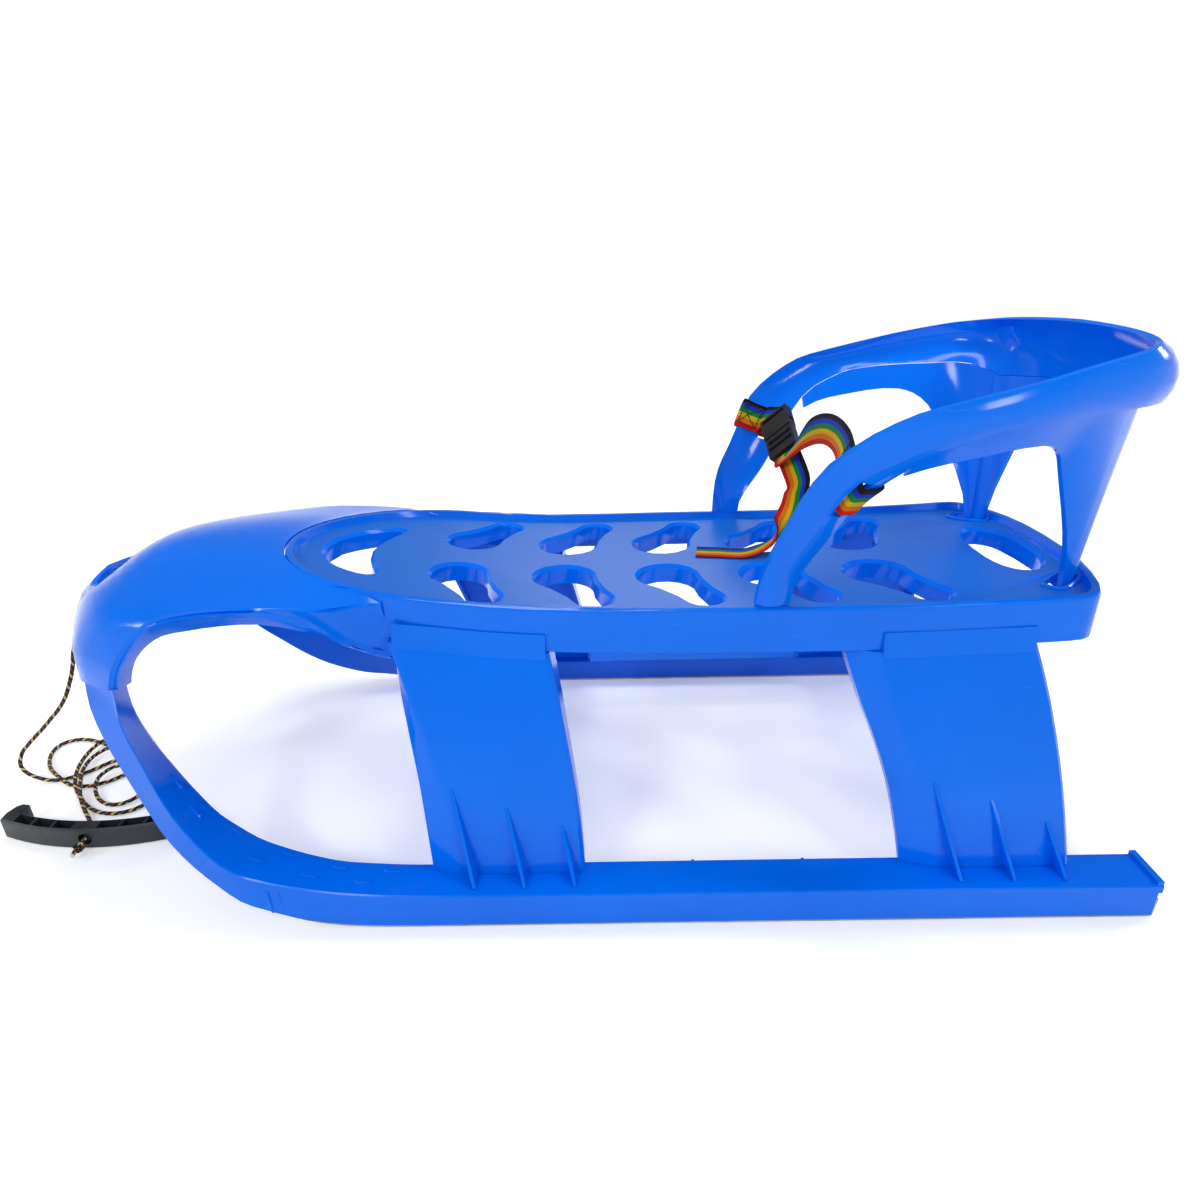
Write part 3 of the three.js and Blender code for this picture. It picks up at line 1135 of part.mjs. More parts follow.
// Outer face and thickness direction of the backrest at a station
function backSection(t, steps) {
  const top = topRim(t);
  const low = lowRim(t);
  const a = topRim(t + 0.004).add(lowRim(t + 0.004));
  const b = topRim(t - 0.004).add(lowRim(t - 0.004));
  const along = a.sub(b).normalize();
  const normal = along.cross(top.clone().sub(low)).normalize();
  const centre = vec(alongX(BACK_CENTRE_SHARE), 0, top.z);
  if (normal.dot(top.clone().sub(centre)) < 0) normal.negate();
  const foot = clamp01(Math.min(t, 1 - t) / 0.19);
  const bulge = mix(FOOT_BULGE, BACK_BULGE, ease(foot)) + BACK_CORNER_BULGE * cornerShare(t);
  const face = [];
  for (let k = 0; k <= steps; k++) {
    const share = k / steps;
    const out = bulge * Math.pow(Math.sin(Math.PI * share), 0.75);
    face.push(top.clone().lerp(low, share).addScaledVector(normal, out));
  }
  return { face, normal, top, low };
}

function backrestHoop() {
  const half = rimStations();
  const places = [...half, RIM_SPANS / 2, ...half.map((i) => RIM_SPANS - i).reverse()];
  const last = places.length - 1;
  const steps = 5;
  const rings = places.map((place, n) => {
    const t = place / RIM_SPANS;
    const { face, normal } = backSection(t, steps);
    if (n === 0 || n === last) normal.z = 0;
    const inner = face.map((p, k) => {
      const share = k / steps;
      const deep = BACK_WALL + ledge(t) * Math.pow(share, 2) + flute(t) * ease(share * 3 - 0.4);
      return p.clone().addScaledVector(normal, -deep);
    });
    const ring = [...face, ...inner.reverse()];
    if (n === 0 || n === last) for (const p of ring) p.z = backZ(0) + GAP;
    return ring;
  });
  return cut(loft(rings), [strapSlot(SLOT_STATION), strapSlot(1 - SLOT_STATION)]);
}

// Cutter of the slot that the strap passes through
function strapSlot(t) {
  const { face, normal } = backSection(t, 6);
  const centre = face[4];
  const next = backSection(t + 0.005, 6).face[4];
  const along = next.clone().sub(centre).normalize();
  const across = along.clone().cross(normal).normalize();
  const ring = (out) => {
    const list = [];
    for (const [a, b] of [[-1, -1], [1, -1], [1, 1], [-1, 1]]) {
      const p = centre.clone().addScaledVector(along, (a * STRAP_SLOT_LENGTH) / 2);
      list.push(p.addScaledVector(across, (b * STRAP_SLOT_WIDTH) / 2).addScaledVector(normal, out));
    }
    return list;
  };
  return loft([ring(-3 * BACK_WALL), ring(2 * BACK_WALL)]);
}

// Wall under the band on one side, its window edge, the rear post and half the rear arch
function backrestPost() {
  const rows = 5;
  const places = rimStations().filter((i) => i >= WALL_START);
  const outer = [];
  const inner = [];
  for (let r = 0; r <= rows; r++) {
    outer.push([]);
    inner.push([]);
  }
  const middle = RIM_SPANS / 2;
  const ends = [...places, middle];
  ends.forEach((place) => {
    const t = place / RIM_SPANS;
    const { normal, top, low } = backSection(t, 6);
    const down = low.clone().sub(top).normalize();
    const start = low.clone().addScaledVector(normal, -ledge(t)).addScaledVector(down, 2 * GAP);
    const end = wallEdgePoint(place);
    const deep = BACK_WALL + flute(t);
    const flat = vec(normal.x, normal.y, 0).normalize();
    for (let r = 0; r <= rows; r++) {
      const share = r / rows;
      const inward = normal.clone().lerp(flat, share).normalize();
      const p = start.clone().lerp(end, share);
      if (place === middle) p.y = GAP / 2;
      const q = p.clone().addScaledVector(inward, -deep);
      if (place === middle) q.y = GAP / 2;
      outer[r].push(p);
      inner[r].push(q);
    }
  });
  return skin(outer, inner);
}

// Flat webbing along points, each with the direction of its width
function ribbon(stations, width, thickness) {
  const rings = stations.map(({ at, side }, i) => {
    const a = stations[Math.max(0, i - 1)].at;
    const b = stations[Math.min(stations.length - 1, i + 1)].at;
    const along = b.clone().sub(a).normalize();
    const w = side.clone().addScaledVector(along, -side.dot(along)).normalize();
    const n = along.cross(w).normalize();
    const place = (p, q) =>
      at.clone().addScaledVector(w, (p * width) / 2).addScaledVector(n, (q * thickness) / 2);
    return [place(-1, -1), place(1, -1), place(1, 1), place(-1, 1)];
  });
  return loft(rings);
}

// The belt: places read from the hoop and measured shares
const beltPoint = ([x, y, z]) => vec(alongX(x), acrossY(y), backZ(z));

function buckleFrame() {
  const start = beltPoint(BUCKLE_START_SHARES);
  const end = beltPoint(BUCKLE_END_SHARES);
  const along = end.clone().sub(start);
  const length = along.length();
  along.normalize();
  const side = vec(0.62, -0.15, 0.77);
  side.addScaledVector(along, -side.dot(along)).normalize();
  const up = along.clone().cross(side).normalize();
  const place = (a, s, u) =>
    start.clone().addScaledVector(along, a).addScaledVector(side, s).addScaledVector(up, u);
  return { place, length, along, side, up };
}

// A block in the frame of the buckle, sizes as from and to
function buckleBlock(a0, a1, s0, s1, u0, u1) {
  const { place } = buckleFrame();
  const ring = (a) => [place(a, s0, u0), place(a, s1, u0), place(a, s1, u1), place(a, s0, u1)];
  return loft([ring(a0), ring(a1)]);
}

// A slot for the webbing right through one half of the buckle
function ladderSlot(from, [a, b]) {
  const side = BUCKLE_WIDTH / 2 - WEB_SLOT_SIDE;
  const past = BUCKLE_THICKNESS / 2 + CUT_EXTRA;
  return buckleBlock(from + a, from + b, -side, side, -past, past);
}

function buckleFemale() {
  const { length } = buckleFrame();
  const half = BUCKLE_WIDTH / 2;
  const thick = BUCKLE_THICKNESS / 2;
  const end = length * FEMALE_SHARE;
  const shell = buckleBlock(0, end, -half, half, -thick, thick);
  const inner = [-thick + BUCKLE_WALL, thick - BUCKLE_WALL];
  const roomHalf = half - BUCKLE_SIDE_WALL;
  const room = buckleBlock(length * ROOM_SHARE, end + CUT_EXTRA, -roomHalf, roomHalf, ...inner);
  const past = half + CUT_EXTRA;
  const windowCut = buckleBlock(length * SIDE_WINDOW_SHARE, end - BUCKLE_LIP, -past, past, ...inner);
  const webSlot = ladderSlot(0, WEB_SLOT);
  return cut(shell, [room, windowCut, webSlot]);
}

function buckleMale() {
  const { length } = buckleFrame();
  const half = BUCKLE_WIDTH / 2;
  const thick = BUCKLE_THICKNESS / 2;
  const from = length * FEMALE_SHARE + GAP;
  const body = buckleBlock(from, length, -half, half, -thick + MALE_INSET, thick - MALE_INSET);
  const slots = LADDER_SLOTS.map((slot) => ladderSlot(from, slot));
  const deep = thick - TONGUE_INSET;
  const tongue = buckleBlock(length * TONGUE_SHARE, from + CUT_EXTRA, -TONGUE_HALF, TONGUE_HALF, -deep, deep);
  return join([cut(body, slots), tongue]);
}

// One squeeze prong of the male half, its pad in the side window
function buckleProng(side) {
  const { length, place } = buckleFrame();
  const half = BUCKLE_WIDTH / 2;
  const thick = BUCKLE_THICKNESS / 2 - TONGUE_INSET;
  const end = length * FEMALE_SHARE - PRONG_GAP;
  const outline = [
    ...PRONG_TIP.map(([back, inset]) => [end - back, half - inset]),
    ...PRONG_ROOT.map(([share, inset]) => [length * share, half - inset]),
  ];
  const ring = (u) => outline.map(([a, s]) => place(a, side * s, u));
  return loft([ring(-thick), ring(thick)]);
}

// Webbing as a grid of points, given a thickness along its own normals
function webbing(rows) {
  const half = WEB_THICKNESS / 2;
  const side = (sign) =>
    rows.map((row, i) =>
      row.map((p, j) => {
        const along = rows[Math.min(i + 1, rows.length - 1)][j].clone().sub(rows[Math.max(i - 1, 0)][j]);
        const across = row[Math.min(j + 1, 2)].clone().sub(row[Math.max(j - 1, 0)]);
        return p.clone().addScaledVector(along.cross(across).normalize(), sign * half);
      }),
    );
  return skin(side(1), side(-1));
}

// One row of webbing across the arm, a point of its section moved off the wall
function armRow(station, k, out, rise) {
  const columns = [-1, 0, 1].map((c) => {
    const { face, normal } = backSection(station + c * WEB_STATION_SHARE, ARM_STEPS);
    const up = face[0].clone().sub(face[ARM_STEPS]).normalize();
    return face[k].clone().addScaledVector(normal, out).addScaledVector(up, rise);
  });
  return columns[0].z < columns[2].z ? columns : columns.reverse();
}

// One row of webbing in free air, from its middle and the direction of its width
function freeRow(at, side) {
  const w = side.clone().normalize().multiplyScalar(WEB_WIDTH / 2);
  return [at.clone().sub(w), at.clone(), at.clone().add(w)];
}

// Webbing loop round the left arm and the short strap to the buckle
function beltLoopLeft() {
  const { place, side } = buckleFrame();
  const inside = -BACK_WALL - WEB_OFF;
  const t = SLOT_STATION;
  const last = armRow(t, 3, inside - WEB_LAYER, 0);
  const width = last[2].clone().sub(last[0]);
  const middle = last[1].clone().lerp(place(0, 0, 0), 0.5);
  return webbing([
    armRow(t, 3, inside, 0), armRow(t, 1, inside, 0), armRow(t, 0, inside, WEB_OFF * 0.6),
    armRow(t, 0, -BACK_WALL / 2, WEB_OFF * 1.6), armRow(t, 0, WEB_OFF, WEB_OFF * 0.6),
    armRow(t, 1, WEB_OFF, 0), armRow(t, 3, WEB_OFF, 0), armRow(t, 4, WEB_OFF, 0),
    armRow(t, 4, inside, 0), last, freeRow(middle, width.clone().normalize().lerp(side, 0.5)),
    freeRow(place(-WEB_THICKNESS, 0, 0), side),
  ]);
}

// Strap from the buckle to the slot of the right arm, folded round the edge of the arm
function beltStrapRight() {
  const { place, length, side } = buckleFrame();
  const inside = -BACK_WALL - WEB_OFF;
  const t = 1 - SLOT_STATION;
  const near = armRow(t, 4, inside - STRAP_INSIDE, 0);
  const width = near[2].clone().sub(near[0]).normalize();
  const upright = vec(0.1, 0, 1);
  const [first, second, third] = STRAP_SHARES.map(beltPoint);
  return webbing([
    freeRow(place(length + STRAP_START, 0, 0), side),
    freeRow(place(length + STRAP_OUT, 0, STRAP_LIFT), side.clone().lerp(upright, 0.3)),
    freeRow(first, upright), freeRow(second, upright), freeRow(third, upright.clone().lerp(width, 0.4)), near,
    armRow(t, 4, inside, 0), armRow(t, 4, WEB_OFF, 0), armRow(t, 5, WEB_OFF, 0),
    armRow(t, 6, WEB_OFF, -WEB_OFF * 0.6), armRow(t, 6, -BACK_WALL / 2, -WEB_OFF * 1.6),
    armRow(t, 6, inside, -WEB_OFF * 0.6), armRow(t, 5, inside, 0),
  ]);
}

function beltTail() {
  const { place, length, side } = buckleFrame();
  const flat = vec(0.25, 1, 0);
  const stations = [
    { at: place(length + TAIL_START, 0, -TAIL_START_DROP), side },
    { at: place(length + TAIL_OUT, 0, -TAIL_DROP), side },
  ];
  const rest = line(TAIL_SHARES.map(beltPoint));
  for (let k = 0; k <= 14; k++) {
    const t = k / 14;
    const turned = vec(1, -0.25, 0).lerp(flat, ease(t * 2.6 - 0.3));
    stations.push({ at: rest(t), side: side.clone().lerp(turned, ease(t * 3)) });
  }
  return ribbon(stations, WEB_WIDTH, WEB_THICKNESS);
}

// Tow rope: one unbroken tube through the hand-placed route
const ropeRoute = () => [
  ...ROPE_HANG_SHARES.map(([x, y, z]) => vec(alongX(x), acrossY(y), upZ(z))),
  ...ROPE_LOOP_SHARES.map(([x, y, z]) => vec(alongX(x), acrossY(y), z * ROPE_DIAMETER)),
];

// A round tube through the points of a route
function tubeAlong(route, diameter) {
  const rings = [];
  let normal = vec(0, 1, 0);
  route.forEach((p, i) => {
    const a = route[Math.max(0, i - 1)];
    const b = route[Math.min(route.length - 1, i + 1)];
    const along = b.clone().sub(a).normalize();
    normal = normal.clone().addScaledVector(along, -normal.dot(along)).normalize();
    const side = along.clone().cross(normal);
    const ring = [];
    for (let k = 0; k < ROPE_SIDES; k++) {
      const turn = (k / ROPE_SIDES) * 2 * Math.PI;
      const u = normal.clone().multiplyScalar((Math.cos(turn) * diameter) / 2);
      ring.push(p.clone().add(u).addScaledVector(side, (Math.sin(turn) * diameter) / 2));
    }
    rings.push(ring);
  });
  return loft(rings);
}

const towRope = () => tubeAlong(ropeRoute(), ROPE_DIAMETER);

// Least distance between parts of the rope that aren't neighbours, less its diameter
function ropeGap() {
  const route = ropeRoute();
  const fine = [];
  const length = [0];
  for (let i = 0; i + 1 < route.length; i++) {
    for (let k = 0; k < 5; k++) fine.push(route[i].clone().lerp(route[i + 1], k / 5));
  }
  for (let i = 1; i < fine.length; i++) length.push(length[i - 1] + fine[i].distanceTo(fine[i - 1]));
  let least = Infinity;
  for (let i = 0; i < fine.length; i++) {
    for (let j = i + 1; j < fine.length; j++) {
      if (length[j] - length[i] < ROPE_DIAMETER * 4) continue;
      least = Math.min(least, fine[i].distanceTo(fine[j]));
    }
  }
  return least - ROPE_DIAMETER;
}

const ropeEnd = () => {
  const route = ropeRoute();
  return route[route.length - 1];
};

// Tow handle: a bowed bar with hooked ends, open pockets on top and a bore for the rope
function towHandle() {
  const end = ropeEnd();
  const front = end.y + HANDLE_STAND_OFF;
  const half = HANDLE_LENGTH / 2;
  const arc = (x, depth) => front + depth + HANDLE_BOW * Math.pow(x / half, 2);
  const outer = [];
  const inner = [];
  for (let k = 0; k <= 16; k++) {
    const x = mix(-half, half, k / 16);
    outer.push([end.x + x, arc(x, 0)]);
    inner.push([end.x + x * 0.86, arc(x * 0.86, HANDLE_DEPTH)]);
  }
  const tip = arc(half, HANDLE_DEPTH + HANDLE_HOOK);
  const hook = (side) => [
    [end.x + side * (half + HOOK_OUT), arc(half, HANDLE_DEPTH * 0.6)],
    ...HOOK_STEPS.map(([inset, drop]) => [end.x + side * (half - inset), tip - drop]),
  ];
  const outline = [...outer, ...hook(1), ...inner.reverse(), ...hook(-1).reverse()];
  const bar = stack(outline, [
    [0, -HANDLE_ROUND], [HANDLE_ROUND, 0], [HANDLE_HEIGHT - HANDLE_ROUND, 0], [HANDLE_HEIGHT, -HANDLE_ROUND],
  ]);
  const tools = [];
  for (let k = 0; k < 7; k++) {
    if (k === 3) continue;
    const x0 = mix(-half * 0.84, half * 0.84, k / 7) + POCKET_RIB_HALF;
    const x1 = mix(-half * 0.84, half * 0.84, (k + 1) / 7) - POCKET_RIB_HALF;
    const ring = (z) => [
      vec(end.x + x0, arc(x0, POCKET_WALL), z), vec(end.x + x1, arc(x1, POCKET_WALL), z),
      vec(end.x + x1, arc(x1, HANDLE_DEPTH - POCKET_WALL), z),
      vec(end.x + x0, arc(x0, HANDLE_DEPTH - POCKET_WALL), z),
    ];
    tools.push(loft([ring(HANDLE_HEIGHT - POCKET_DEPTH), ring(HANDLE_HEIGHT + CUT_EXTRA)]));
  }
  const bore = (y0, y1, size) => {
    const ring = (y) => {
      const list = [];
      for (let k = 0; k < 20; k++) {
        const turn = (k / 20) * 2 * Math.PI;
        list.push(vec(end.x + (size / 2) * Math.cos(turn), y, end.z + (size / 2) * Math.sin(turn)));
      }
      return list;
    };
    return loft([ring(y0), ring(y1)]);
  };
  tools.push(bore(front - BORE_START, front + HANDLE_DEPTH / 2, HANDLE_BORE));
  const clear = ROPE_DIAMETER + ROPE_CLEARANCE;
  tools.push(bore(front - BORE_START, front + HANDLE_DEPTH + BORE_THROUGH, clear));
  return cut(bar, tools);
}

// Stopper knot in front of the handle
function ropeKnot() {
  const end = ropeEnd();
  const rings = [];
  const rows = 10;
  const radius = KNOT_DIAMETER / 2;
  for (let i = 1; i < rows; i++) {
    const turn = (i / rows) * Math.PI;
    const ring = [];
    for (let k = 0; k < 14; k++) {
      const a = (k / 14) * 2 * Math.PI;
      const lobe = 1 + 0.1 * Math.cos(3 * a + 2 * turn);
      const r = radius * Math.sin(turn) * lobe;
      const y = end.y - GAP - radius + radius * 0.98 * Math.cos(turn);
      ring.push(vec(end.x - KNOT_SHIFT + r * Math.cos(a), y, end.z - KNOT_DROP + r * Math.sin(a)));
    }
    rings.push(ring);
  }
  return loft(rings);
}

const COLOURS = { plastic: 0x0a63e0, metal: 0xb8bcc0, black: 0x2a2e33, web: 0xe07a20, rope: 0x2c3c40 };

function meshOf(name, part, slot) {
  const geometry = new THREE.BufferGeometry();
  const corners = part.faces.flat().map((i) => part.points[i]);
  const flat = corners.flatMap((p) => [p.x, p.y, p.z]);
  geometry.setAttribute("position", new THREE.Float32BufferAttribute(flat, 3));
  geometry.computeVertexNormals();
  const mesh = new THREE.Mesh(geometry, new THREE.MeshStandardMaterial({ color: COLOURS[slot] }));
  mesh.name = name;
  return mesh;
}

const sled = new THREE.Group();
const put = (name, part, slot) => sled.add(meshOf(name, part, slot));

put("seat_deck", seatDeck(), "plastic");
put("nose_hood", noseHood(), "plastic");
const leftRunner = runner();
put("runner_left", leftRunner, "plastic");
put("runner_right", mirrored(leftRunner), "plastic");
const leftStrip = metalStrip();
put("metal_strip_left", leftStrip, "metal");
put("metal_strip_right", mirrored(leftStrip), "metal");
const frontLeg = leg(FRONT_LEG_SHARES);
const rearLeg = leg(REAR_LEG_SHARES);
put("leg_front_left", frontLeg, "plastic");
put("leg_front_right", mirrored(frontLeg), "plastic");
put("leg_rear_left", rearLeg, "plastic");
put("leg_rear_right", mirrored(rearLeg), "plastic");
put("backrest_hoop", backrestHoop(), "plastic");
const leftPost = backrestPost();
put("backrest_post_left", leftPost, "plastic");
put("backrest_post_right", mirrored(leftPost), "plastic");
put("belt_loop_left", beltLoopLeft(), "web");
put("belt_strap_right", beltStrapRight(), "web");
put("belt_tail", beltTail(), "web");
put("buckle_female", buckleFemale(), "black");
put("buckle_male", buckleMale(), "black");
put("buckle_prong_front", buckleProng(-1), "black");
put("buckle_prong_rear", buckleProng(1), "black");
put("tow_rope", towRope(), "rope");
put("tow_handle", towHandle(), "black");
put("rope_knot", ropeKnot(), "rope");
console.log("rope gap " + ropeGap().toFixed(2));

export default sled;
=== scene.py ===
import math

import bpy
from mathutils import Matrix, Vector


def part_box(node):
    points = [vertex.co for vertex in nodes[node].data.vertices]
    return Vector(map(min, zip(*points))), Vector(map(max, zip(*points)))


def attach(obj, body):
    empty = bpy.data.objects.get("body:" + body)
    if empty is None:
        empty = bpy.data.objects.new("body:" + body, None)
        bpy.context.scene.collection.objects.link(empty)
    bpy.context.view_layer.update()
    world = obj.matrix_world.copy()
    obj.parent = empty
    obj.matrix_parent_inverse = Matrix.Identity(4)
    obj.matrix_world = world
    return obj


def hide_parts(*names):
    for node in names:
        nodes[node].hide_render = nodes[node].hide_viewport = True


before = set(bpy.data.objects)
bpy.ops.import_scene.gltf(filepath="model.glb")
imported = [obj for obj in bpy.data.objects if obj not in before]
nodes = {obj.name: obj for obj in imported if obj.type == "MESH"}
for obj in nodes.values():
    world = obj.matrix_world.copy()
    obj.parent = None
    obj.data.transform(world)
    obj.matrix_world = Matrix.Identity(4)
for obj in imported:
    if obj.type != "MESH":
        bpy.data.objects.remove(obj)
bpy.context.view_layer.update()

# View: the sled from its right side and from a little above, nose to the left,
# taken close by with a wide lens, the camera turned a little about its own axis.
pitch, yaw, roll = 0.41016, -0.00957, 0.02182
camera_place = (0.03064, -0.66508, 0.48407)
ahead = Vector((math.sin(yaw), math.cos(yaw), 0))
right = Vector((math.cos(yaw), -math.sin(yaw), 0))
down = -math.sin(pitch) * ahead - Vector((0, 0, math.cos(pitch)))
forward = math.cos(pitch) * ahead - Vector((0, 0, math.sin(pitch)))
across = math.cos(roll) * right + math.sin(roll) * down
upward = math.sin(roll) * right - math.cos(roll) * down
lens = bpy.data.cameras.new("view")
lens.lens = 22.8
lens.sensor_width = 36
lens.clip_start = 0.01
camera = bpy.data.objects.new("view", lens)
bpy.context.collection.objects.link(camera)
turn = Matrix((across, upward, -forward)).transposed().to_4x4()
camera.matrix_world = Matrix.Translation(camera_place) @ turn
bpy.context.scene.camera = camera
bpy.context.scene.view_settings.view_transform = "Standard"

# Tow rope: a limp 4 mm braided cord of polypropylene, dark teal with yellow and red flecks.
# It comes out of the nose, drops to the ground and lies there in loose loops up to the handle.
rope_radius = 0.00196
rope_fineness = 5
route = [Vector(p) for p in (
    (-0.455, 0, 0.184), (-0.4669, 0, 0.1831), (-0.4779, 0.0002, 0.1782),
    (-0.4858, 0.0006, 0.1693), (-0.4915, 0.0008, 0.1587), (-0.4964, 0.0011, 0.1477),
    (-0.5004, 0.0016, 0.1364), (-0.5052, 0.0023, 0.1255), (-0.5108, 0.0031, 0.1148),
    (-0.5168, 0.004, 0.1044), (-0.5233, 0.005, 0.0945), (-0.5309, 0.0061, 0.0851),
    (-0.5391, 0.0073, 0.0765), (-0.5479, 0.0082, 0.0683), (-0.5565, 0.0087, 0.06),
    (-0.5654, 0.0093, 0.0519), (-0.5745, 0.01, 0.044), (-0.5834, 0.0108, 0.0359),
    (-0.592, 0.0116, 0.0277), (-0.5939, 0.0098, 0.0239), (-0.5949, 0.0075, 0.0201),
    (-0.594, 0.0043, 0.0166), (-0.5905, 0.0003, 0.0134), (-0.5846, -0.0032, 0.0104),
    (-0.577, -0.0059, 0.0078), (-0.5683, -0.0076, 0.0054), (-0.5593, -0.0081, 0.0033),
    (-0.5501, -0.007, 0.0024), (-0.5412, -0.0039, 0.0024), (-0.5331, 0.001, 0.0024),
    (-0.5264, 0.0073, 0.0024), (-0.5203, 0.0144, 0.0024), (-0.5147, 0.0215, 0.0024),
    (-0.5086, 0.0276, 0.0024), (-0.5021, 0.032, 0.0024), (-0.4951, 0.034, 0.0024),
    (-0.4886, 0.0334, 0.0024), (-0.4832, 0.0303, 0.0024), (-0.4796, 0.0248, 0.0024),
    (-0.4784, 0.0179, 0.0024), (-0.4797, 0.0103, 0.0024), (-0.4831, 0.0027, 0.0024),
    (-0.4882, -0.0044, 0.0024), (-0.4947, -0.0105, 0.0024), (-0.5025, -0.0151, 0.0024),
    (-0.5112, -0.0179, 0.0024), (-0.5205, -0.0184, 0.0024), (-0.53, -0.0167, 0.0028),
    (-0.5391, -0.013, 0.0049), (-0.5479, -0.0077, 0.0069), (-0.5563, -0.0013, 0.0065),
    (-0.5644, 0.0058, 0.0052), (-0.5719, 0.0134, 0.0041), (-0.5785, 0.0216, 0.0032),
    (-0.5841, 0.03, 0.0026), (-0.5885, 0.0385, 0.0024), (-0.5911, 0.0469, 0.0024),
    (-0.5915, 0.0548, 0.0024), (-0.5892, 0.0615, 0.0024), (-0.5841, 0.0663, 0.0024),
    (-0.5771, 0.0687, 0.0024), (-0.5688, 0.0688, 0.0024), (-0.5598, 0.067, 0.0024),
    (-0.5507, 0.0637, 0.0024), (-0.5416, 0.0594, 0.0024), (-0.5324, 0.0546, 0.0024),
    (-0.5235, 0.0497, 0.0024), (-0.5148, 0.0452, 0.0024), (-0.5061, 0.0417, 0.0024),
    (-0.4981, 0.0397, 0.0024), (-0.4908, 0.0395, 0.0024), (-0.4852, 0.0414, 0.0024),
    (-0.4821, 0.0456, 0.0024), (-0.4822, 0.0511, 0.0024), (-0.4851, 0.057, 0.0024),
    (-0.4903, 0.0624, 0.0024), (-0.4971, 0.067, 0.0024), (-0.5048, 0.0703, 0.0026),
    (-0.5133, 0.072, 0.0031), (-0.5218, 0.0719, 0.0039), (-0.5296, 0.0695, 0.0049),
    (-0.5363, 0.0649, 0.0062), (-0.541, 0.058, 0.0071), (-0.5437, 0.0495, 0.0068),
    (-0.5444, 0.04, 0.0064), (-0.5435, 0.03, 0.0063), (-0.5412, 0.0198, 0.0065),
    (-0.5377, 0.0095, 0.0069), (-0.5334, -0.0007, 0.0074), (-0.5283, -0.0108, 0.0074),
    (-0.5224, -0.0205, 0.0067), (-0.5155, -0.0293, 0.0045), (-0.5077, -0.0373, 0.0029),
    (-0.4995, -0.0448, 0.0024), (-0.4911, -0.0514, 0.0024), (-0.4823, -0.0569, 0.0024),
    (-0.4732, -0.0609, 0.0024), (-0.464, -0.0628, 0.0024), (-0.4551, -0.0626, 0.0024),
    (-0.447, -0.0601, 0.0024), (-0.4403, -0.0556, 0.0024), (-0.4356, -0.0494, 0.0024),
    (-0.4334, -0.042, 0.0024), (-0.4339, -0.0339, 0.0024), (-0.4372, -0.0259, 0.0024),
    (-0.4424, -0.0184, 0.0024), (-0.449, -0.0114, 0.0024), (-0.4565, -0.005, 0.0031),
    (-0.4644, 0.0008, 0.0044), (-0.4726, 0.0058, 0.006), (-0.4806, 0.0096, 0.0072),
    (-0.4883, 0.0117, 0.0069), (-0.4951, 0.0113, 0.0065), (-0.5005, 0.0078, 0.0064),
    (-0.5036, 0.0018, 0.0065), (-0.5045, -0.0057, 0.0069), (-0.5034, -0.0139, 0.0072),
    (-0.5004, -0.0222, 0.0064), (-0.4959, -0.0301, 0.0052), (-0.4902, -0.0373, 0.0042),
    (-0.4835, -0.0433, 0.0034), (-0.4762, -0.0477, 0.003), (-0.4685, -0.0498, 0.0028),
    (-0.4609, -0.0492, 0.0029), (-0.4541, -0.0459, 0.0033), (-0.4489, -0.0405, 0.0039),
    (-0.4455, -0.0333, 0.0049), (-0.4447, -0.0251, 0.0061), (-0.4464, -0.0163, 0.0072),
    (-0.4498, -0.0074, 0.0074), (-0.4549, 0.0013, 0.0071), (-0.4612, 0.0097, 0.0069),
    (-0.4681, 0.0177, 0.007), (-0.4757, 0.0252, 0.0073), (-0.4836, 0.0322, 0.0076),
    (-0.4919, 0.0382, 0.0077), (-0.5003, 0.0431, 0.0076), (-0.5086, 0.0463, 0.0075),
    (-0.5166, 0.0472, 0.0076), (-0.5238, 0.0454, 0.0072), (-0.5293, 0.0407, 0.0068),
    (-0.5327, 0.0338, 0.0065), (-0.5339, 0.0255, 0.0066), (-0.5329, 0.0163, 0.0069),
    (-0.5303, 0.0067, 0.0074), (-0.5264, -0.0029, 0.0078), (-0.5212, -0.0126, 0.0083),
    (-0.5156, -0.0223, 0.0087), (-0.5098, -0.0321, 0.0086), (-0.5034, -0.0417, 0.0079),
    (-0.4963, -0.0509, 0.0068), (-0.4887, -0.0597, 0.0053), (-0.4806, -0.0682, 0.0038),
    (-0.4724, -0.0766, 0.0024), (-0.4619, -0.0823, 0.0024), (-0.4562, -0.0888, 0.0087),
    (-0.455, -0.0995, 0.011), (-0.4554, -0.1115, 0.011),
)]


def colour(code):
    parts = [int(code[k:k + 2], 16) / 255 for k in (1, 3, 5)]
    linear = [c / 12.92 if c <= 0.04045 else ((c + 0.055) / 1.055) ** 2.4 for c in parts]
    return (*linear, 1.0)


def surface(name, **constants):
    material = bpy.data.materials.new(name)
    material.use_nodes = True
    shader = material.node_tree.nodes["Principled BSDF"]
    for key, value in constants.items():
        shader.inputs[key.replace("_", " ")].default_value = value
    return material


def add(material, kind, out=0, stops=(), spread="LINEAR", **settings):
    """Add a node: small letters set it up, capital ones feed its sockets, stops fill its ramp."""
    made = material.node_tree.nodes.new("ShaderNode" + kind)
    for key, value in settings.items():
        if key[0].islower():
            setattr(made, key, value)
            continue
        socket = made.inputs[int(key[2:]) if key[2:].isdigit() else key.replace("_", " ")]
        if isinstance(value, bpy.types.NodeSocket):
            material.node_tree.links.new(value, socket)
        else:
            socket.default_value = value
    if stops:
        made.color_ramp.interpolation = spread
        while len(made.color_ramp.elements) < len(stops):
            made.color_ramp.elements.new(0.5)
        for element, (place, shade) in zip(made.color_ramp.elements, stops):
            element.position = place
            element.color = shade
    return made.outputs[out]


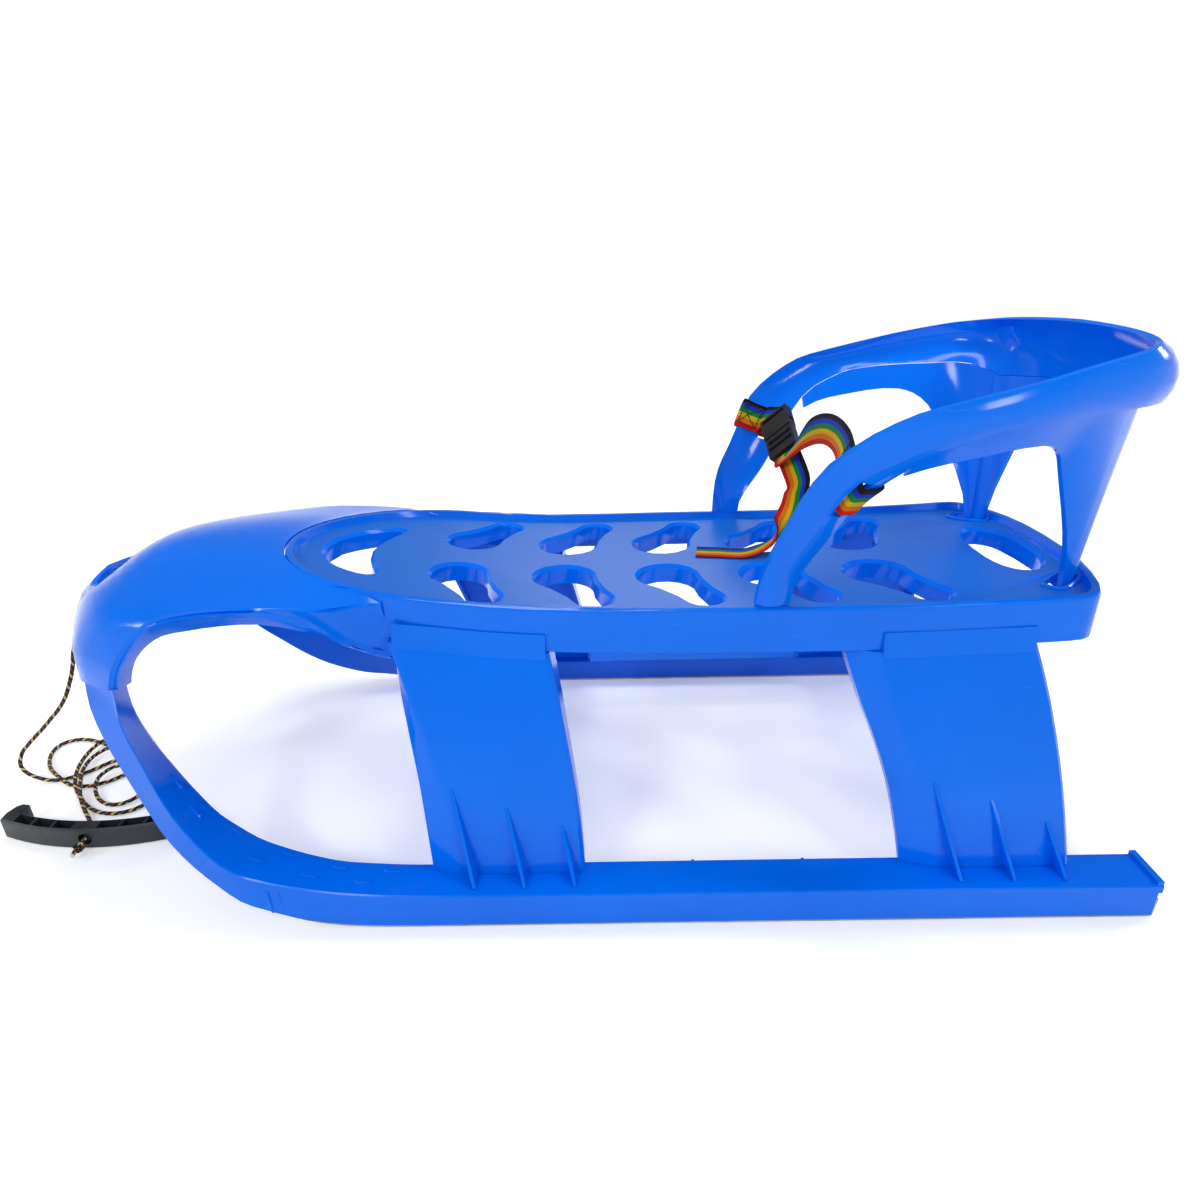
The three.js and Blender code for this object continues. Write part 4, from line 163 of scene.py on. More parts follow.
def feed(material, **sources):
    shader = material.node_tree.nodes["Principled BSDF"]
    for key, value in sources.items():
        material.node_tree.links.new(value, shader.inputs[key.replace("_", " ")])


def grey(level):
    return (level, level, level, 1)


def mesh_piece(name, points, faces, material, places=None):
    mesh = bpy.data.meshes.new(name)
    mesh.from_pydata([tuple(p) for p in points], [], faces)
    mesh.materials.append(material)
    for polygon in mesh.polygons:
        polygon.use_smooth = True
    if places:
        layer = mesh.uv_layers.new(name="length")
        for loop in mesh.loops:
            layer.data[loop.index].uv = places[loop.vertex_index]
    piece = bpy.data.objects.new(name, mesh)
    bpy.context.collection.objects.link(piece)
    return piece


def between(a, b, c, d, t):
    return 0.5 * (2 * b + (c - a) * t + (2 * a - 5 * b + 4 * c - d) * t * t
                  + (3 * b - a - 3 * c + d) * t * t * t)


def smoothed(points, steps):
    out = []
    for i in range(len(points) - 1):
        a, b, c, d = (points[max(0, min(len(points) - 1, i + k))] for k in (-1, 0, 1, 2))
        out += [between(a, b, c, d, k / steps) for k in range(steps)]
    return out + [points[-1]]


def tube(name, path, radius, material, sides=12, taper=None):
    """A round tube along a path, its map turns across and tenths of a metre along."""
    points, faces = [], []
    side = Vector((0, 1, 0.02))
    rings = len(path)
    for i, p in enumerate(path):
        ahead = (path[min(i + 1, rings - 1)] - path[max(i - 1, 0)]).normalized()
        side = (side - ahead * side.dot(ahead)).normalized()
        other = ahead.cross(side)
        r = radius * (taper(i / (rings - 1)) if taper else 1)
        for k in range(sides):
            a = 2 * math.pi * k / sides
            points.append(p + side * (math.cos(a) * r) + other * (math.sin(a) * r))
    for i in range(rings - 1):
        for k in range(sides):
            a, b = i * sides + k, i * sides + (k + 1) % sides
            faces.append((a, b, b + sides, a + sides))
    faces.append(tuple(range(sides))[::-1])
    faces.append(tuple(range((rings - 1) * sides, rings * sides)))
    piece = mesh_piece(name, points, faces, material)
    layer = piece.data.uv_layers.new(name="length")
    lengths = [0.0]
    for a, b in zip(path, path[1:]):
        lengths.append(lengths[-1] + (b - a).length)
    for polygon in piece.data.polygons:
        rows = [piece.data.loops[i].vertex_index for i in polygon.loop_indices]
        turns = [(v % sides) / sides for v in rows]
        if max(turns) - min(turns) > 0.5:
            turns = [u + 1 if u < 0.5 else u for u in turns]
        for index, v, u in zip(polygon.loop_indices, rows, turns):
            layer.data[index].uv = (u, lengths[v // sides] * 10)
    return piece


# Braided polypropylene: dull strands that cross over and under, one family each way round.
# Strands are drawn coarser than real so that they show: 4 of each round the rope, and
# one for each 3.85 mm along it. The fuzz on them is too fine to single out.
def braid(name, shades):
    strands_round = 4.0
    strands_along = 26.0
    material = surface(name, Roughness=0.75, Sheen_Weight=0.08, Specular_IOR_Level=0.15)
    place = add(material, "SeparateXYZ", Vector=add(material, "UVMap", uv_map="length")).node.outputs
    around = add(material, "Math", operation="MULTIPLY", In0=place[0], In1=strands_round)
    along = add(material, "Math", operation="MULTIPLY", In0=place[1], In1=strands_along)
    families = [add(material, "Math", operation=way, In0=around, In1=along) for way in ("ADD", "SUBTRACT")]
    counts = [add(material, "Math", operation="FLOOR", In0=family) for family in families]
    whole = add(material, "Math", operation="ADD", In0=counts[0], In1=counts[1])
    odd = add(material, "Math", operation="FLOORED_MODULO", In0=whole, In1=2.0)
    over = add(material, "Math", operation="GREATER_THAN", In0=odd, In1=0.5)
    heights, tints = [], []
    for family, count, table in zip(families, counts, shades):
        part = add(material, "Math", operation="FRACT", In0=family)
        half_turn = add(material, "Math", operation="MULTIPLY", In0=part, In1=math.pi)
        heights.append(add(material, "Math", operation="SINE", In0=half_turn))
        turn = add(material, "Math", operation="FLOORED_MODULO", In0=count, In1=float(len(table)))
        strand = add(material, "Math", operation="DIVIDE", In0=turn, In1=float(len(table)))
        inside = add(material, "Math", operation="ADD", In0=strand, In1=0.01)
        tints.append(add(material, "ValToRGB", Fac=inside, spread="CONSTANT",
                         stops=[(k / len(table), colour(c)) for k, c in enumerate(table)]))
    tint = add(material, "Mix", out=2, data_type="RGBA", In0=over, In6=tints[0], In7=tints[1])
    height = add(material, "Mix", data_type="FLOAT", In0=over, In2=heights[0], In3=heights[1])
    fuzz = add(material, "TexNoise", Scale=900.0, Detail=2.0)
    # Painted shade: the colour is darkened to grey at the edges of each strand, where it dips under the next
    # one.
    strand_gap_shade = add(material, "ValToRGB", Fac=height, stops=[(0.0, colour("#5a5a5a")), (0.6, colour("#ffffff"))])
    worn = add(material, "ValToRGB", Fac=fuzz, stops=[(0.3, colour("#808080")), (0.7, colour("#ffffff"))])
    tint = add(material, "Mix", out=2, data_type="RGBA", blend_type="MULTIPLY", In0=1.0, In6=tint, In7=strand_gap_shade)
    tint = add(material, "Mix", out=2, data_type="RGBA", blend_type="MULTIPLY", In0=0.35, In6=tint, In7=worn)
    lint = add(material, "Math", operation="MULTIPLY", In0=fuzz, In1=0.25)
    rise = add(material, "Math", operation="ADD", In0=height, In1=lint)
    feed(material, Base_Color=tint,
         Normal=add(material, "Bump", Strength=0.9, Distance=0.0004, Height=rise))
    return material


rope_finish = braid("braided_rope", (("#f6e39a", "#12282d", "#1f6068", "#12282d"),
                                     ("#16262b", "#cf3a26", "#14303a", "#e8cf6a")))
rope_path = smoothed(route, rope_fineness)
tow_rope = tube("tow_rope_braid", rope_path, rope_radius, rope_finish)
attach(tow_rope, "sled")
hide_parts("tow_rope")

# Stopper knot: the rope's end tied in a tight overhand knot in front of the handle, its cut
# end melted into a pale hard bead so that the braid can't open.
knot_steps = 96
knot_size = 0.00112
knot_depth = 0.0021
knot_rope_radius = 0.00188
stub_radius = 0.0019
bead_radius = 0.00225
knot_low, knot_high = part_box("rope_knot")
knot_middle = (knot_low + knot_high) / 2
knot_path = []
for k in range(knot_steps + 1):
    t = 2 * math.pi * k / knot_steps
    knot_path.append(knot_middle + Vector((
        (math.sin(t) + 2 * math.sin(2 * t)) * knot_size,
        -math.sin(3 * t) * knot_depth,
        (math.cos(t) - 2 * math.cos(2 * t)) * knot_size)))
knot = tube("rope_knot_wraps", knot_path, knot_rope_radius, rope_finish)
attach(knot, "sled")
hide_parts("rope_knot")
stub_start = knot_middle + Vector((-0.0008, -0.0012, 0.0005))
stub_end = Vector((knot_middle.x - 0.0004, knot_low.y - 0.0042, knot_middle.z - 0.0012))
stub_path = smoothed([stub_start, stub_start.lerp(stub_end, 0.6), stub_end], 6)
stub = tube("rope_knot_end", stub_path, stub_radius, rope_finish)
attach(stub, "sled")

# Melted polypropylene: hard and half glossy, mottled where the dark strands run into the pale.
melted = surface("melted_fibre", Roughness=0.35, Specular_IOR_Level=0.5)
mottle = add(melted, "TexNoise", Scale=900.0, Detail=3.0)
feed(melted,
     Base_Color=add(melted, "ValToRGB", Fac=mottle,
                    stops=[(0.3, colour("#b8aa8c")), (0.6, colour("#f4f0e6"))]),
     Normal=add(melted, "Bump", Strength=0.6, Distance=0.0002, Height=mottle))
bead_path = [stub_end + Vector((0, -0.0001 * k, 0)) for k in range(-4, 15)]
bead = tube("rope_knot_bead", bead_path, bead_radius, melted, 16,
            taper=lambda t: max(0.12, math.sin(math.pi * min(1, t * 0.62 + 0.36)) ** 0.45))
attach(bead, "sled")

# Blue shell: seat, nose, runners and legs are one injection moulding of polypropylene, dyed
# right through. The backrest is a second moulding, its feet pushed into sockets in the seat.
runner_round = 0.0009
leg_round = 0.0008
back_round = 0.0013


def coated(piece, width, material):
    """Round the sharp edges of a CAD piece by a width, and give it a material."""
    for polygon in piece.data.polygons:
        polygon.use_smooth = True
    weld = piece.modifiers.new("joined", "WELD")
    weld.merge_threshold = 0.00002
    edge = piece.modifiers.new("rounded", "BEVEL")
    edge.width = width
    edge.segments = 2
    edge.limit_method = "ANGLE"
    edge.angle_limit = math.radians(32)
    even = piece.modifiers.new("even", "WEIGHTED_NORMAL")
    even.keep_sharp = True
    piece.data.materials.clear()
    piece.data.materials.append(material)


# A pattern's scale from the width in millimetres of one of its spots
def spots(millimetres):
    return 1000 / millimetres


# Glossy moulded polypropylene: clear reflections, a faint ripple that the mould left, a
# fine skin that breaks them up, and hair scuffs that show as duller lines.
def gloss_plastic(name, tint, dark, ripple):
    gloss, scuff = 0.1, 0.2
    material = surface(name, Specular_IOR_Level=0.2, IOR=1.5)
    where = add(material, "TexCoord", out="Object")
    cloud = add(material, "TexNoise", Vector=where, Scale=spots(111), Detail=3.0)
    skin = add(material, "TexNoise", Vector=where, Scale=spots(3.85), Detail=2.0)
    wave = add(material, "TexNoise", Vector=where, Scale=spots(18.2), Detail=2.0, Roughness=0.4)
    long = add(material, "Mapping", Vector=where, Scale=(spots(71.4), spots(2.38), spots(6.25)),
               Rotation=(0.2, 0.3, 0.5))
    marks = add(material, "TexNoise", Vector=long, Scale=1.0, Detail=4.0)
    scratch = add(material, "ValToRGB", Fac=marks, stops=[(0.66, grey(0)), (0.72, grey(1))])
    dull = add(material, "Math", operation="MULTIPLY", In0=scratch, In1=scuff)
    level = add(material, "Math", operation="ADD", In0=gloss, In1=dull)
    grain = add(material, "Math", operation="MULTIPLY", In0=skin, In1=0.05)
    low = add(material, "Math", operation="MULTIPLY", In0=skin, In1=0.12)
    height = add(material, "Math", operation="ADD", In0=wave, In1=low)
    feed(material,
         Base_Color=add(material, "ValToRGB", Fac=cloud, stops=[(0.3, colour(dark)), (0.7, colour(tint))]),
         Roughness=add(material, "Math", operation="ADD", In0=level, In1=grain),
         Normal=add(material, "Bump", Strength=ripple, Distance=0.0006, Height=height))
    return material


shell_blue = gloss_plastic("blue_shell", "#0073f4", "#006deb", 0.10)
back_blue = gloss_plastic("blue_backrest", "#0075f6", "#006fed", 0.08)
for name in ("runner_left", "runner_right"):
    coated(nodes[name], runner_round, shell_blue)
for name in ("leg_front_left", "leg_front_right", "leg_rear_left", "leg_rear_right"):
    coated(nodes[name], leg_round, shell_blue)
for name in ("backrest_hoop", "backrest_post_left", "backrest_post_right"):
    coated(nodes[name], back_round, back_blue)

# Nose hood: the hollow front of the same moulding. It is a copy of the CAD's hood, drawn in at
# its lower lip, to run into the two arms, and tucked behind against the skirt and front legs.
hood_round = 0.0009
lip_draw = 0.0065
corner_tuck = 0.013
corner_reach = 0.005
lip_start, lip_end = -0.3585, -0.3935
lip_top, lip_bottom = 0.207, 0.185


def eased(value, start, end):
    t = min(1.0, max(0.0, (value - start) / (end - start)))
    return t * t * (3 - 2 * t)


hood_mesh = nodes["nose_hood"].data.copy()
for vertex in hood_mesh.vertices:
    x, y, z = vertex.co
    out = abs(y)
    drop = min(1.0, max(0.0, (lip_top - z) / (lip_top - lip_bottom)))
    lip = eased(x, lip_start, lip_end) * drop * eased(out, 0.05, 0.095)
    tuck = eased(x, -0.190, -0.148) * eased(out, 0.095, 0.125)
    reach = eased(x, -0.165, -0.148) * eased(z, 0.245, 0.233)
    vertex.co = (x + lip_draw * lip + corner_reach * reach,
                 y - math.copysign(corner_tuck * tuck, y), z)
hood = bpy.data.objects.new("nose_hood_shell", hood_mesh)
bpy.context.collection.objects.link(hood)
coated(hood, hood_round, shell_blue)
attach(hood, "sled")
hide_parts("nose_hood")

# Strip clips: two low ribs moulded on the outer wall of each runner, where the front end of
# the metal strip is let in.
rib_foot = Vector((-0.2362, 0.2068, 0.0165))
rib_run = Vector((-0.003, -0.0022, 0.0225))
rib_half_gap = 0.0045
rib_half_width = 0.0016
rib_rise = 0.0017
rib_steps = 8
rib_sides = 6


def rib_faces(base):
    """Faces of one rib as seen from its left, whose first point is number base."""
    ring = rib_sides + 1
    faces = []
    for k in range(rib_steps):
        first = base + k * ring
        for a in range(first, first + rib_sides):
            faces.append((a, a + 1, a + 1 + ring, a + ring))
        faces.append((first, first + ring, first + ring + rib_sides, first + rib_sides))
    top = base + rib_steps * ring
    return faces + [tuple(range(base, base + ring))[::-1], tuple(range(top, top + ring))]


for side, name in ((-1, "strip_clip_right"), (1, "strip_clip_left")):
    points, faces = [], []
    for shift in (-rib_half_gap, rib_half_gap):
        base = len(points)
        for k in range(rib_steps + 1):
            t = k / rib_steps
            rise = rib_rise * min(1.0, 6 * t, 6 * (1 - t))
            place = rib_foot + rib_run * t
            for n in range(rib_sides + 1):
                a = math.pi * n / rib_sides
                points.append((place.x + shift - rib_half_width * math.cos(a),
                               side * (place.y + rise * math.sin(a)), place.z))
        faces += rib_faces(base) if side > 0 else [face[::-1] for face in rib_faces(base)]
    clip = mesh_piece(name, points, faces, shell_blue)
    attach(clip, "sled")

# Seat: the same moulding, with foot-shaped holes. The flat of its top has a fine mould
# texture, which makes it a little duller than the skirt round it. Faces that look up are also
# painted a greyer, darker blue than the dye: painted shade and sheen of the top.
seat_round = 0.0018
textured_gloss = 0.24
seat_blue = gloss_plastic("blue_seat", "#0073f4", "#006deb", 0.08)
facing = add(seat_blue, "SeparateXYZ", out=2, Vector=add(seat_blue, "NewGeometry", out="True Normal"))
top_texture_and_shade = add(seat_blue, "ValToRGB", Fac=facing, stops=[(0.93, grey(0)), (0.985, grey(1))])
shader = seat_blue.node_tree.nodes["Principled BSDF"]
skirt_tint = shader.inputs["Base Color"].links[0].from_socket
skirt_level = shader.inputs["Roughness"].links[0].from_socket
duller = add(seat_blue, "Math", operation="MULTIPLY", In0=top_texture_and_shade, In1=textured_gloss)
# Painted shade and sheen: faces that look up are mixed to a greyer, darker blue than the skirt's dye.
feed(seat_blue,
     Base_Color=add(seat_blue, "Mix", out=2, data_type="RGBA", In0=top_texture_and_shade, In6=skirt_tint,
                    In7=colour("#1468d0")),
     Roughness=add(seat_blue, "Math", operation="ADD", In0=skirt_level, In1=duller))
coated(nodes["seat_deck"], seat_round, seat_blue)

# Metal strips: a strap of rolled bright steel let in under each runner, its ends turned up.
# It shines in long streaks, with duller brown-grey patches rubbed by snow and gravel.
strip_round = 0.0005
steel = surface("worn_steel", Metallic=1.0, Specular_IOR_Level=0.5)
where = add(steel, "TexCoord", out="Object")
drawn = add(steel, "Mapping", Vector=where, Scale=(spots(167), spots(1.11), spots(1.11)))
streak = add(steel, "TexNoise", Vector=drawn, Scale=1.0, Detail=5.0, Roughness=0.7)
patch = add(steel, "TexNoise", Vector=where, Scale=spots(26.3), Detail=4.0)
rubbed = add(steel, "ValToRGB", Fac=patch, stops=[(0.5, grey(0)), (0.72, grey(0.6))])
bright = add(steel, "ValToRGB", Fac=streak, stops=[(0.3, colour("#8a8e92")), (0.7, colour("#c2c6c9"))])
uneven = add(steel, "Math", operation="MULTIPLY", In0=streak, In1=0.25)
feed(steel,
     Base_Color=add(steel, "Mix", out=2, data_type="RGBA", In0=rubbed, In6=bright, In7=colour("#757370")),
     Roughness=add(steel, "Math", operation="ADD", In0=uneven, In1=0.18),
     Normal=add(steel, "Bump", Strength=0.25, Distance=0.0002, Height=streak))
for name in ("metal_strip_left", "metal_strip_right"):
    coated(nodes[name], strip_round, steel)

# Handle and buckle: injection-moulded black nylon. The rope is threaded through the handle's
# middle, and the webbing through the slots at both ends of the buckle.
handle_round = 0.0006
buckle_round = 0.0005


# Moulded nylon: a fine even grain that blurs the gloss, and paler patches where hands rub it.
def black_plastic(name, tint, pale, level):
    material = surface(name, Specular_IOR_Level=0.45)
    where = add(material, "TexCoord", out="Object")
    grain = add(material, "TexNoise", Vector=where, Scale=spots(0.667), Detail=2.0)
    cloud = add(material, "TexNoise", Vector=where, Scale=spots(16.7), Detail=4.0)
    rub = add(material, "TexNoise", Vector=where, Scale=spots(7.14), Detail=4.0)
    worn = add(material, "ValToRGB", Fac=rub, stops=[(0.62, grey(0)), (0.78, grey(0.35))])
    base = add(material, "ValToRGB", Fac=cloud, stops=[(0.35, colour(tint)), (0.7, colour(pale))])
    uneven = add(material, "Math", operation="MULTIPLY", In0=grain, In1=0.2)
    feed(material,
         Base_Color=add(material, "Mix", out=2, data_type="RGBA", In0=worn, In6=base, In7=colour("#4a5056")),
         Roughness=add(material, "Math", operation="ADD", In0=uneven, In1=level),
         Normal=add(material, "Bump", Strength=0.35, Distance=0.0001, Height=grain))
    return material


handle_black = black_plastic("handle_plastic", "#1f2428", "#2e343a", 0.34)
buckle_black = black_plastic("buckle_plastic", "#1c1a1b", "#2e2828", 0.3)
coated(nodes["tow_handle"], handle_round, handle_black)
for name in ("buckle_female", "buckle_male", "buckle_prong_front", "buckle_prong_rear"):
    coated(nodes[name], buckle_round, buckle_black)

# Belt: 26 mm polypropylene webbing woven in rainbow stripes. One length is sewn round the
# left arm, the other passes through the slot of the right arm, and its tail lies on the seat.
# It follows the CAD's belt: the same sizes, in metres, and the same shares of the sled's.
sled_length, sled_width, seat_height, back_height = 0.927, 0.424, 0.242, 0.197
arm_wall = 0.004
web_width = 0.026
web_thickness = 0.0016
web_half = 0.00078
web_off = 0.002
web_layer = 0.0026


def belt_point(shares):
    """A place from shares of the length, of the half width and of the height of the back."""
    x, y, z = shares
    return Vector(((x - 0.5) * sled_length, y * sled_width / 2, seat_height + z * back_height))


def curve_at(points, t):
    """A point of the centripetal curve through points, t counted in points."""
    i = min(int(t), len(points) - 2)
    b, c = points[i], points[i + 1]
    a = points[i - 1] if i else b * 2 - c
    d = points[i + 2] if i + 2 < len(points) else c * 2 - b
    before, span, after = ((q - p).length ** 0.5 for p, q in ((a, b), (b, c), (c, d)))
    leave = ((b - a) / before - (c - a) / (before + span) + (c - b) / span) * span
    arrive = ((c - b) / span - (d - b) / (span + after) + (d - c) / after) * span
    u = t - i
    return (b + leave * u + (c * 3 - b * 3 - leave * 2 - arrive) * u * u
            + (b * 2 - c * 2 + leave + arrive) * u * u * u)


# Upper and lower edge of an arm's outer face, where the belt goes round it. Places along the
# arm count its sections from 0 at the foot, and these are 5 to 9. The webbing's middle is at
# arm_place, and its edges are arm_column to either side of it.
arm_top = [belt_point(shares) for shares in (
    (0.6764, 0.658, 0.3452), (0.6834, 0.6698, 0.4264), (0.6904, 0.6958, 0.5076),
    (0.699, 0.7311, 0.5838), (0.7109, 0.7571, 0.6421))]
arm_low = [belt_point(shares) for shares in (
    (0.7168, 0.5778, 0.2868), (0.726, 0.5943, 0.3629), (0.7354, 0.6321, 0.4442),
    (0.746, 0.6863, 0.5152), (0.7584, 0.7335, 0.5787))]
arm_first = 5
arm_place = 6.968
arm_column = 0.7592
arm_nearby = 0.208
arm_steps = 6
arm_centre = 0.8
foot_bulge, back_bulge, back_place = 0.004, 0.005, 9.88


def arm_section(place):
    """Points down the arm's outer face at a place along it, and the way out of the face."""
    top, low = (curve_at(edge, place - arm_first) for edge in (arm_top, arm_low))
    after, before = (curve_at(arm_top, place + step - arm_first) + curve_at(arm_low, place + step - arm_first)
                     for step in (arm_nearby, -arm_nearby))
    out = (after - before).cross(top - low).normalized()
    centre = Vector(((arm_centre - 0.5) * sled_length, 0, top.z))
    if out.dot(top - centre) < 0:
        out.negate()
    bulge = foot_bulge + (back_bulge - foot_bulge) * eased(place, 0, back_place)
    face = [top.lerp(low, k / arm_steps) + out * (bulge * math.sin(math.pi * k / arm_steps) ** 0.75)
            for k in range(arm_steps)]
    return face + [low], out


def arm_row(side, k, off, rise=0.0):
    """A row of webbing across an arm, a step down its face and moved off and up from it."""
    row = []
    for column in (-1, 0, 1):
        face, out = arm_section(arm_place + column * arm_column)
        p = face[k] + out * off + (face[0] - face[-1]).normalized() * rise
        row.append(Vector((p.x, p.y * side, p.z)))
    return row if row[0].z < row[2].z else row[::-1]


def free_row(middle, wide):
    """A row of webbing in free air, from its middle and the direction of its width."""
    half = wide.normalized() * (web_width / 2)
    return [middle - half, middle, middle + half]


buckle_start = belt_point((0.7206, 0.5425, 0.5228))
buckle_end = belt_point((0.7228, 0.3302, 0.3858))
buckle_length = (buckle_end - buckle_start).length
buckle_way = (buckle_end - buckle_start).normalized()
buckle_side = Vector((0.62, -0.15, 0.77))
buckle_side = (buckle_side - buckle_way * buckle_side.dot(buckle_way)).normalized()
buckle_up = buckle_way.cross(buckle_side).normalized()
inside = -arm_wall - web_off
last_layer = arm_row(1, 3, inside - web_layer)
loop_rows = [
    arm_row(1, 3, inside), arm_row(1, 1, inside), arm_row(1, 0, inside, web_off * 0.6),
    arm_row(1, 0, -arm_wall / 2, web_off * 1.6), arm_row(1, 0, web_off, web_off * 0.6),
    arm_row(1, 1, web_off), arm_row(1, 3, web_off), arm_row(1, 4, web_off), arm_row(1, 4, inside), last_layer,
    free_row(last_layer[1].lerp(buckle_start, 0.5),
             (last_layer[2] - last_layer[0]).normalized().lerp(buckle_side, 0.5)),
    free_row(buckle_start - buckle_way * web_thickness, buckle_side)]

upright = Vector((0.1, 0, 1))
near = arm_row(-1, 4, inside - 0.008)
near_way = (near[2] - near[0]).normalized()
strap_start = buckle_start + buckle_way * (buckle_length + 0.0022)
strap_out = buckle_start + buckle_way * (buckle_length + 0.009) + buckle_up * 0.002
strap_rows = [
    free_row(strap_start, buckle_side), free_row(strap_out, buckle_side.lerp(upright, 0.3)),
    free_row(belt_point((0.7325, 0.14, 0.5112)), upright),
    free_row(belt_point((0.7346, -0.12, 0.5883)), upright),
    free_row(belt_point((0.7303, -0.4, 0.5835)), upright.lerp(near_way, 0.4)), near,
    arm_row(-1, 4, inside), arm_row(-1, 4, web_off), arm_row(-1, 5, web_off),
    arm_row(-1, 6, web_off, -web_off * 0.6), arm_row(-1, 6, -arm_wall / 2, -web_off * 1.6),
    arm_row(-1, 6, inside, -web_off * 0.6), arm_row(-1, 5, inside)]

tail_steps = 14
tail_curve = [belt_point(shares) for shares in (
    (0.7325, 0.217, 0.269), (0.7238, 0.151, 0.1254), (0.7033, 0.085, 0.0212), (0.6763, 0.035, -0.0227),
    (0.6473, 0.05, -0.0253), (0.6256, 0.066, -0.0253))]
tail_line = [(buckle_start + buckle_way * (buckle_length + 0.0006) - buckle_up * 0.0044, buckle_side),
             (buckle_start + buckle_way * (buckle_length + 0.007) - buckle_up * 0.006, buckle_side)]
for k in range(tail_steps + 1):
    t = k / tail_steps
    turned = Vector((1, -0.25, 0)).lerp(Vector((0.25, 1, 0)), eased(t, 0.3 / 2.6, 0.5))
    tail_line.append((curve_at(tail_curve, t * (len(tail_curve) - 1)),
                      buckle_side.lerp(turned, eased(t, 0, 1 / 3))))
tail_rows = []
for i, (middle, wide) in enumerate(tail_line):
    ahead = tail_line[min(i + 1, len(tail_line) - 1)][0] - tail_line[max(i - 1, 0)][0]
    ahead.normalize()
    tail_rows.append(free_row(middle, wide - ahead * wide.dot(ahead)))

# Woven polypropylene: dull ribs 1.2 mm wide that run along the belt, crossed by a pick each
# 1.5 mm which leans the other way from rib to rib. Where colours meet, the picks interlock.
web_ribs = 22.0
pick_spacing = 0.0015
web = surface("rainbow_webbing", Roughness=0.8, Sheen_Weight=0.04, Specular_IOR_Level=0.12)
place = add(web, "SeparateXYZ", Vector=add(web, "UVMap", uv_map="length")).node.outputs
wide = add(web, "Math", operation="MULTIPLY", In0=place[0], In1=web_ribs)
run = add(web, "Math", operation="MULTIPLY", In0=place[1], In1=1 / pick_spacing)
rib = add(web, "Math", operation="FLOOR", In0=wide)
across_rib = add(web, "Math", operation="FRACT", In0=wide)
odd = add(web, "Math", operation="FLOORED_MODULO", In0=rib, In1=2.0)
way = add(web, "Math", operation="SUBTRACT", In0=odd, In1=0.5)
slant = add(web, "Math", operation="MULTIPLY", In0=way, In1=1.3)
shear = add(web, "Math", operation="MULTIPLY", In0=across_rib, In1=slant)
lean = add(web, "Math", operation="ADD", In0=run, In1=shear)
half_turn = add(web, "Math", operation="MULTIPLY", In0=across_rib, In1=math.pi)
yarn = add(web, "Math", operation="SINE", In0=half_turn)
pick_turn = add(web, "Math", operation="MULTIPLY", In0=lean, In1=math.pi)
pick_wave = add(web, "Math", operation="SINE", In0=pick_turn)
pick = add(web, "Math", operation="ABSOLUTE", In0=pick_wave)
full_yarn = add(web, "Math", operation="POWER", In0=yarn, In1=0.6)
low_pick = add(web, "Math", operation="MULTIPLY", In0=pick, In1=0.7)
raised_pick = add(web, "Math", operation="ADD", In0=low_pick, In1=0.3)
weave = add(web, "Math", operation="MULTIPLY", In0=full_yarn, In1=raised_pick)
past_half = add(web, "Math", operation="SUBTRACT", In0=pick, In1=0.5)
teeth = add(web, "Math", operation="MULTIPLY", In0=past_half, In1=0.022)
shifted = add(web, "Math", operation="ADD", In0=place[0], In1=teeth)
stripes = add(web, "ValToRGB", Fac=shifted, spread="CONSTANT", stops=[
    (0.0, colour("#1a0f0e")), (0.165, colour("#1c40d8")), (0.33, colour("#12983a")),
    (0.495, colour("#ffd010")), (0.66, colour("#ff860e")), (0.83, colour("#ee1a0e"))])
# Painted shade: the colour is darkened to grey in the hollows of the weave, between the ribs and the picks.
weave_hollow_shade = add(web, "ValToRGB", Fac=weave, stops=[(0.0, colour("#4c4c4c")), (0.6, colour("#ffffff"))])
fluff = add(web, "TexNoise", Scale=1200.0, Detail=2.0)
faded = add(web, "ValToRGB", Fac=fluff, stops=[(0.3, colour("#9a9a9a")), (0.7, colour("#ffffff"))])
tint = add(web, "Mix", out=2, data_type="RGBA", blend_type="MULTIPLY", In0=1.0, In6=stripes, In7=weave_hollow_shade)
tint = add(web, "Mix", out=2, data_type="RGBA", blend_type="MULTIPLY", In0=0.3, In6=tint, In7=faded)
lint = add(web, "Math", operation="MULTIPLY", In0=fluff, In1=0.2)
height = add(web, "Math", operation="ADD", In0=weave, In1=lint)
feed(web, Base_Color=tint, Normal=add(web, "Bump", Strength=0.9, Distance=0.0005, Height=height))


def web_grid(rows, steps=6, columns=10):
    """A smooth grid of points through rows of three, each to a tenth of a millimetre."""
    lines = [smoothed([Vector([round(c, 4) for c in row[k]]) for row in rows], steps) for k in range(3)]
    grid = []
    for left, middle, right in zip(*lines):
        row = []
        for j in range(columns + 1):
            u = j / columns
            row.append(left * (2 * (u - 0.5) * (u - 1)) + middle * (4 * u * (1 - u))
                       + right * (2 * u * (u - 0.5)))
        grid.append(row)
    return grid


